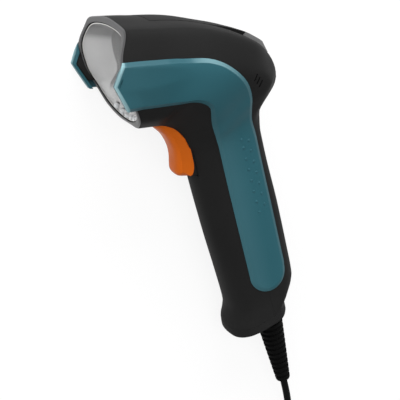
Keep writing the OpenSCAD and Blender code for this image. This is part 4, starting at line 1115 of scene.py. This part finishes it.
# A white ring just inside the pane's edge: a painted highlight that stands for the reflection along
# the pane's edge
piece("painted_highlight_rim", mouth_band([
    ("opening", 0.2, 0.42), ("opening", 0.2, 0.86), ("opening", 0.29, 0.86),
    ("opening", 0.29, 0.42)]), white_plastic, "clear_window")

# The reflector behind the pane, and the port in its back for the imaging engine
ENGINE_X, ENGINE_Y = 13.65, 48.5
PORT_HALF_H, PORT_HALF_W, PORT_CRISP = 7, 10, 12
KNEE_T, KNEE_IN = 0.4, 3.2
# How far behind the window the side walls bend in: angle from the roof, and the distance
KNEE_BACK = [(0, 9), (60, 12.5), (75, 13.7), (90, 13.8), (98, 12.6), (105, 9.5), (113, 5.4),
             (121, 3.6), (180, 3.2)]
INSIDE = [1, 0.85, 0.7, 0.55, 0.44, 0.41, 0.39, 0.36, 0.25, 0.12, 0]
OUTSIDE = [0, 0.2, 0.4, 0.6, 0.8, 1]


def port_pt(a, grow):
    c, s = math.cos(math.radians(a)), math.sin(math.radians(a))
    r = ((abs(c) / (PORT_HALF_H + grow)) ** PORT_CRISP
         + (abs(s) / (PORT_HALF_W + grow)) ** PORT_CRISP) ** (-1 / PORT_CRISP)
    return Vector((ENGINE_X - 0.15, ENGINE_Y + r * c, r * s))


def funnel_pt(t, a, grow):
    """The reflector: side walls from the window to a knee, then a flatter way to the port."""
    knee = opening_pt(a, KNEE_IN - grow, smooth(KNEE_BACK, from_roof(a)))
    if t < KNEE_T:
        f = t / KNEE_T
        return (1 - f) * opening_pt(a, 0.45 - 0.2 * grow, 1.4) + f * knee
    f = (t - KNEE_T) / (1 - KNEE_T)
    return (1 - f) * knee + f * port_pt(a, grow)


def shroud_pt(i, j):
    """Row i runs from the front edge over the outside to the port, and back on the inside."""
    a = MOUTH_ANGLES[j]
    if i == 0:
        return opening_pt(a, 0.2, 0.25)
    if i <= len(OUTSIDE):
        return funnel_pt(OUTSIDE[i - 1], a, 1.0)
    if i <= len(OUTSIDE) + len(INSIDE):
        return funnel_pt(INSIDE[i - 1 - len(OUTSIDE)], a, 0.0)
    return opening_pt(a, 0.4, 0.25)


def shroud_painted_shade(i, j):
    """Painted shade: the reflector's back plate and its roof get the darker grey."""
    angle = from_roof(MOUTH_ANGLES[j])
    row = i - 1 - len(OUTSIDE)
    behind = 0 <= row < len(INSIDE) and INSIDE[row] > KNEE_T
    return max(0.8 * clamp((67 - angle) / 6), clamp((120 - angle) / 7) if behind else 0.0)


reflector = mesh_object("reflector", ring(len(OUTSIDE) + len(INSIDE) + 2, len(MOUTH_ANGLES),
                                          shroud_pt, shroud_painted_shade))
LED_COUNT, LED_T, LED_STEP, LED_H, LED_R = 6, 0.1, 15.6, 1.4, 1.6


def at_led(i):
    a = 180 + LED_STEP * (i - (LED_COUNT - 1) / 2)
    p = funnel_pt(LED_T, a, 0)
    way = (p - funnel_pt(LED_T, a, 1)).normalized()
    return Matrix.Translation(p) @ way.to_track_quat("Z", "Y").to_matrix().to_4x4()


lamp_holes = bmesh.new()
for i in range(LED_COUNT):
    add_cylinder(lamp_holes, LED_R + 0.3, 6, at_led(i) @ move(0, 0, -3))
cut(reflector, lamp_holes)
settle(reflector, pale_plastic, "pale_reflector", "light_shroud")
lamps = bmesh.new()
dome = [(0, -LED_H), (LED_R - 0.15, -LED_H), (LED_R, -LED_H + 0.15)]
dome += [(LED_R * math.cos(math.radians(q)), LED_R * math.sin(math.radians(q)))
         for q in range(0, 91, 9)]
for i in range(LED_COUNT):
    one = turned(dome, 32)
    one.transform(at_led(i))
    mesh = bpy.data.meshes.new("lamp")
    one.to_mesh(mesh)
    one.free()
    lamps.from_mesh(mesh)
    bpy.data.meshes.remove(mesh)
piece("lamp_domes", lamps, clear_dome, "led_lens", "illumination_leds")

# ---------------------------------------------------------------- trigger
# Its front and back outline, from the top to the low end and up again
FINGER = [(3.8, 26.4), (2.5, 23.4), (2.1, 20.4), (4.5, 18.1), (7.5, 15.4), (9.9, 11.8),
          (11.5, 8), (12.3, 4), (12.4, -0.4), (12.7, -2.4), (13.9, -3.7), (15.6, -4.1)]
HEEL = [(18.7, -4.0), (20.0, -3.0), (20.5, 0.4), (19.8, 4.5), (18.5, 10), (16.9, 15.5), (14, 21),
        (10.4, 25.4), (7, 28.5)]
WIDTHS = [q / 10 for q in (-10, -9.6, -9, -8, -7, -5.5, -3.5, 0, 3.5, 5.5, 7, 8, 9, 9.6, 10)]
FRONT_ROUND = 2.1
CHEEK_Z, CHEEK_T = 5.7, 1.4


def curve_through(points, parts):
    """Points on a smooth curve through the given ones."""
    pts = [Vector((*p, 0)) for p in points]
    out = []
    for k in range(len(pts) - 1):
        p0, p1 = pts[max(0, k - 1)], pts[k]
        p2, p3 = pts[k + 1], pts[min(len(pts) - 1, k + 2)]
        for step in range(parts):
            t = step / parts
            out.append(0.5 * (2 * p1 + (p2 - p0) * t + (2 * p0 - 5 * p1 + 4 * p2 - p3) * t * t
                              + (3 * p1 - p0 - 3 * p2 + p3) * t ** 3))
    out.append(pts[-1])
    return out


finger_line = curve_through(FINGER, 4)
heel_line = curve_through(HEEL, 3)


def trigger_pt(i, j):
    """Column j runs round the outline, row i from side to side; the front edges are rounded."""
    q = WIDTHS[i]
    inset = FRONT_ROUND * q ** 4
    if j < len(finger_line):
        p = finger_line[j]
        ahead = finger_line[min(len(finger_line) - 1, j + 1)] - finger_line[max(0, j - 1)]
        normal = Vector((ahead.y, -ahead.x, 0)).normalized()
        p = p - inset * normal * (0.2 + 0.8 * clamp((j - 3) / 10))
    else:
        p = heel_line[j - len(finger_line)]
    drop = 0.8 * (1 - q * q) * clamp(-p.y / 4) * clamp((21.5 - p.x) / 3)
    return Vector((p.x, p.y - drop, q * TRIGGER_W / 2))


blade_mesh = bmesh.new()
columns = len(finger_line) + len(heel_line)
grid(blade_mesh, len(WIDTHS), columns + 1, lambda i, j: trigger_pt(i, j % columns))
close_holes(blade_mesh)
blade = mesh_object("trigger_blade", blade_mesh, sharp=40)
bore = bmesh.new()
add_cylinder(bore, 1.29, 30, move(PIVOT.x, PIVOT.y, -15))
cut(blade, bore)
spring_well = bmesh.new()
add_cylinder(spring_well, 2.9, 3.4, move(PIVOT.x, PIVOT.y, 3.0), 40)
cut(blade, spring_well)
leg_slot = bmesh.new()
add_box(leg_slot, (PIVOT.x + 1.5, PIVOT.y - 9.6, 3.2), (PIVOT.x + 2.7, PIVOT.y - 0.3, 6.2))
cut(blade, leg_slot)
settle(blade, orange, "orange_trigger", "trigger", body="trigger")
cheeks = bmesh.new()
for low in (CHEEK_Z, -CHEEK_Z - CHEEK_T):
    add_box(cheeks, (17.8, -4.3, low), (24.9, 11, low + CHEEK_T))
settle(soften(mesh_object("trigger_cheeks", cheeks), 0.4), charcoal, "charcoal_shell",
       body="trigger")
nose = bmesh.new()
add_cylinder(nose, 1.0, 5, move(23.3, 14.5, -2.5), 24)
add_box(nose, (15, 12.8, -2.2), (23.3, 16.2, 2.2))
settle(soften(mesh_object("trigger_nose", nose), 0.3), orange, "orange_trigger", body="trigger")

# ---------------------------------------------------------------- foot and strain relief
CAP_FROM = GRIP_LEN + SEAM
RELIEF_V = 41.6
# Length along the grip, and distance outside its surface
FOOT_ROWS = [(CAP_FROM, -0.15), (CAP_FROM + 0.15, 0), (CAP_FROM + 1.5, 0.05),
             (CAP_FROM + 2.7, 0.1), (LIP_AT - 0.25, 0.1), (LIP_AT, 0), (LIP_AT + 0.9, -0.6),
             (LIP_AT + 2, -1.3), (LIP_AT + 2.5, -1.8), (LIP_AT + 2.9, -2.5), (LIP_AT + 3.1, -3.5),
             (LIP_AT + 3.2, -5.2)]
FOOT_HOLLOW = [(CAP_FROM - 1, -WALL), (LIP_AT, -WALL), (LIP_AT + 0.9, -WALL - 2.5)]


def loft_of(rows):
    """A capped tube that leans with the foot."""
    angles = ring_angles(TURN + 95, 3)
    bm = bmesh.new()
    n = len(angles)
    grid(bm, len(rows), n + 1,
         lambda i, j: skin(section(TURN + rows[i][0]), angles[j % n], rows[i][1]))
    close_holes(bm)
    return lean_foot(bm)


foot = mesh_object("foot", loft_of(FOOT_ROWS), sharp=28)
cut(foot, loft_of(FOOT_HOLLOW))
hole = bmesh.new()
add_cylinder(hole, RELIEF_D / 2 + 0.15, WALL + 3.2, on_grip(CAP_TO + 1, RELIEF_V) @ turn(-90, "X"),
             64)
cut(foot, hole)
settle(foot, charcoal, "charcoal_shell", "base_cap")


def relief_r(z, less=0.0):
    return (RELIEF_TIP_D + (RELIEF_D - RELIEF_TIP_D) * z / RELIEF_LEN) / 2 - less


pitch = (RELIEF_LEN - 4) / RELIEF_RIBS
profile = [(0, 0), (relief_r(0, 0.7), 0), (relief_r(0, 0.2), 0.2), (relief_r(0), 0.7)]
for k in range(RELIEF_RIBS):
    z = 2.4 + k * pitch
    up, top = z + 0.4 * pitch, z + 0.5 * pitch
    profile += [(relief_r(z), z - 0.15), (relief_r(z, 0.15), z), (relief_r(z, 0.85), z + 0.25),
                (relief_r(z, 0.95), z + 0.5), (relief_r(z, 0.95), up - 0.2), (relief_r(z, 0.8), up),
                (relief_r(top, 0.12), up + 0.25), (relief_r(top), up + 0.45)]
profile += [(RELIEF_D / 2, RELIEF_LEN - 0.6), (RELIEF_D / 2, RELIEF_LEN + WALL - 0.1),
            (4.4, RELIEF_LEN + WALL - 0.1), (4.4, RELIEF_LEN + 9.2), (0, RELIEF_LEN + 9.2)]
boot = turned(profile, 64)
boot.transform(on_grip(CAP_TO + RELIEF_LEN, RELIEF_V) @ turn(-90, "X"))
piece("cable_boot", boot, black_rubber, "black_rubber", "strain_relief")

# ---------------------------------------------------------------- tie and plug on the floor
LAID = Matrix.Scale(MM, 4)
at_coil = LAID @ move(COIL_AT.x, COIL_AT.y, 0) @ turn(62, "Z") @ move(21.6, 0, 0)


def strap_pt(i, j):
    """The strap round the bundle: row i along it, column j round its thin section."""
    t = 360 * i / 48
    c, s = math.cos(math.radians(t)), math.sin(math.radians(t))
    thick = 0.8 if j in (1, 2) else 0.0
    wide = (-2.9, -2.9, 2.9, 2.9)[j]
    half_w, half_h = 8.2 + thick, 7.15 + thick
    r = ((abs(c) / half_w) ** 5 + (abs(s) / half_h) ** 5) ** -0.2
    return Vector((r * c, wide, 8.0 + r * s))


strap = piece("cord_strap", ring(48, 4, strap_pt), black_rubber, "black_rubber", "cord_tie",
              place=at_coil)
at_plug = LAID @ Matrix.Translation(on_floor(TAIL[-1])) @ turn(190, "Z")
grip_block = bmesh.new()
add_box(grip_block, (8, -8, -4), (34, 8, 4))
bmesh.ops.bevel(grip_block, geom=grip_block.edges[:], offset=1.6, segments=4, profile=0.5,
                affect="EDGES", material=-1)
plug = piece("plug_grip", grip_block, black_core, "black_rubber", "usb_plug_body", place=at_plug)
sleeve = turned([(0, 0), (2.4, 0), (2.7, 0.4), (2.7, 1.6), (2.4, 1.8), (2.4, 2.6), (2.9, 2.8),
                 (2.9, 4.2), (2.6, 4.4), (2.6, 5.2), (3.2, 5.5), (3.2, 8.5), (0, 8.5)], 32)
sleeve.transform(turn(90, "Y"))
plug_collar = piece("plug_sleeve", sleeve, black_core, "black_rubber", place=at_plug)

# ---------------------------------------------------------------- finishes of the CAD pieces
for node, material in {
    "led_board": board_green, "engine_body": black_core, "camera_lens_barrel": black_core,
    "camera_lens_glass": lens_glass, "aimer_lens": clear_dome, "engine_bracket": tray_steel,
    "engine_screws": steel, "main_board": board_green, "flex_ribbon": ribbon_amber,
    "beeper": black_core, "trigger_pivot_pin": steel, "trigger_spring": steel,
    "trigger_switch": black_core, "switch_plunger": white_plastic, "switch_board": board_green,
    "modular_jack": black_core, "modular_plug": plug_clear, "housing_screws": steel,
    "usb_plug_shell": plug_steel, "usb_plug_insert": white_plastic,
}.items():
    slots = nodes[node].data.materials
    if not slots:
        slots.append(material)
    for k in range(len(slots)):
        slots[k] = material

# ---------------------------------------------------------------- floor, lamps and surroundings
floor_mesh = bmesh.new()
bmesh.ops.create_grid(floor_mesh, x_segments=1, y_segments=1, size=3)
floor = mesh_object("floor", floor_mesh, place=Matrix.Identity(4))
paper, paper_tree, paper_shader, _ = finish_of("Pale paper floor")
for key, value in (("Base Color", (0.8, 0.8, 0.8, 1)), ("Roughness", 0.9),
                   ("Specular IOR Level", 0.1)):
    paper_shader.inputs[key].default_value = value


def seen_share(tree):
    """1 where the camera looks, or a mirrored or a clear ray."""
    rays = tree.nodes.new("ShaderNodeLightPath").outputs
    return maths(tree, "MAXIMUM", rays["Is Camera Ray"],
                 maths(tree, "MAXIMUM", rays["Is Glossy Ray"], rays["Is Transmission Ray"]))


def whiten(tree, share, shaded, white, output):
    """Shows the white shader instead of the shaded one in this share."""
    mixed = tree.nodes.new("ShaderNodeMixShader")
    for k, source in enumerate((share, shaded.outputs[0], white.outputs[0])):
        tree.links.new(source, mixed.inputs[k])
    tree.links.new(mixed.outputs[0], output.inputs["Surface"])


whiten(paper_tree, maths(paper_tree, "MULTIPLY", seen_share(paper_tree), 0.86), paper_shader,
       add(paper_tree, "Emission", Strength=1.0), paper_tree.nodes["Material Output"])
floor.data.materials.append(paper)

world = bpy.data.worlds.new("Studio")
bpy.context.scene.world = world
world.use_nodes = True
sky = world.node_tree
soft_sky = sky.nodes["Background"]
soft_sky.inputs["Color"].default_value = (1, 1, 1, 1)
direction = add(sky, "VectorMath", {0: add(sky, "TexCoord").outputs["Generated"]},
                operation="DOT_PRODUCT")
direction.inputs[1].default_value = (-0.3, 0.8, 0.4)
sky.links.new(spread(sky, direction.outputs["Value"], -1, 1, 0.1, 0.74),
              soft_sky.inputs["Strength"])
whiten(sky, seen_share(sky), soft_sky, add(sky, "Background", Strength=1.0),
       sky.nodes["World Output"])


def softbox(name, place, aim, size, watts):
    data = bpy.data.lights.new(name, "AREA")
    data.shape, data.size, data.size_y, data.energy = "RECTANGLE", size[0], size[1], watts
    lamp = bpy.data.objects.new(name, data)
    lamp.matrix_world = Matrix.Translation(place) @ (Vector(aim) - Vector(place)).to_track_quat(
        "-Z", "Y").to_matrix().to_4x4()
    bpy.context.scene.collection.objects.link(lamp)


softbox("Main softbox", (0.1, 0.8, 0.45), (0, 0, 0.03), (0.7, 0.5), 8.6)
softbox("Side softbox", (-0.6, 0.25, 0.7), (0, 0, 0.03), (0.7, 0.7), 4.2)
softbox("Overhead softbox", (0.0, 0.1, 0.95), (0, 0, 0), (0.6, 0.6), 3.2)
bpy.context.scene.view_settings.view_transform = "Standard"

# ---------------------------------------------------------------- the end
bpy.context.view_layer.update()
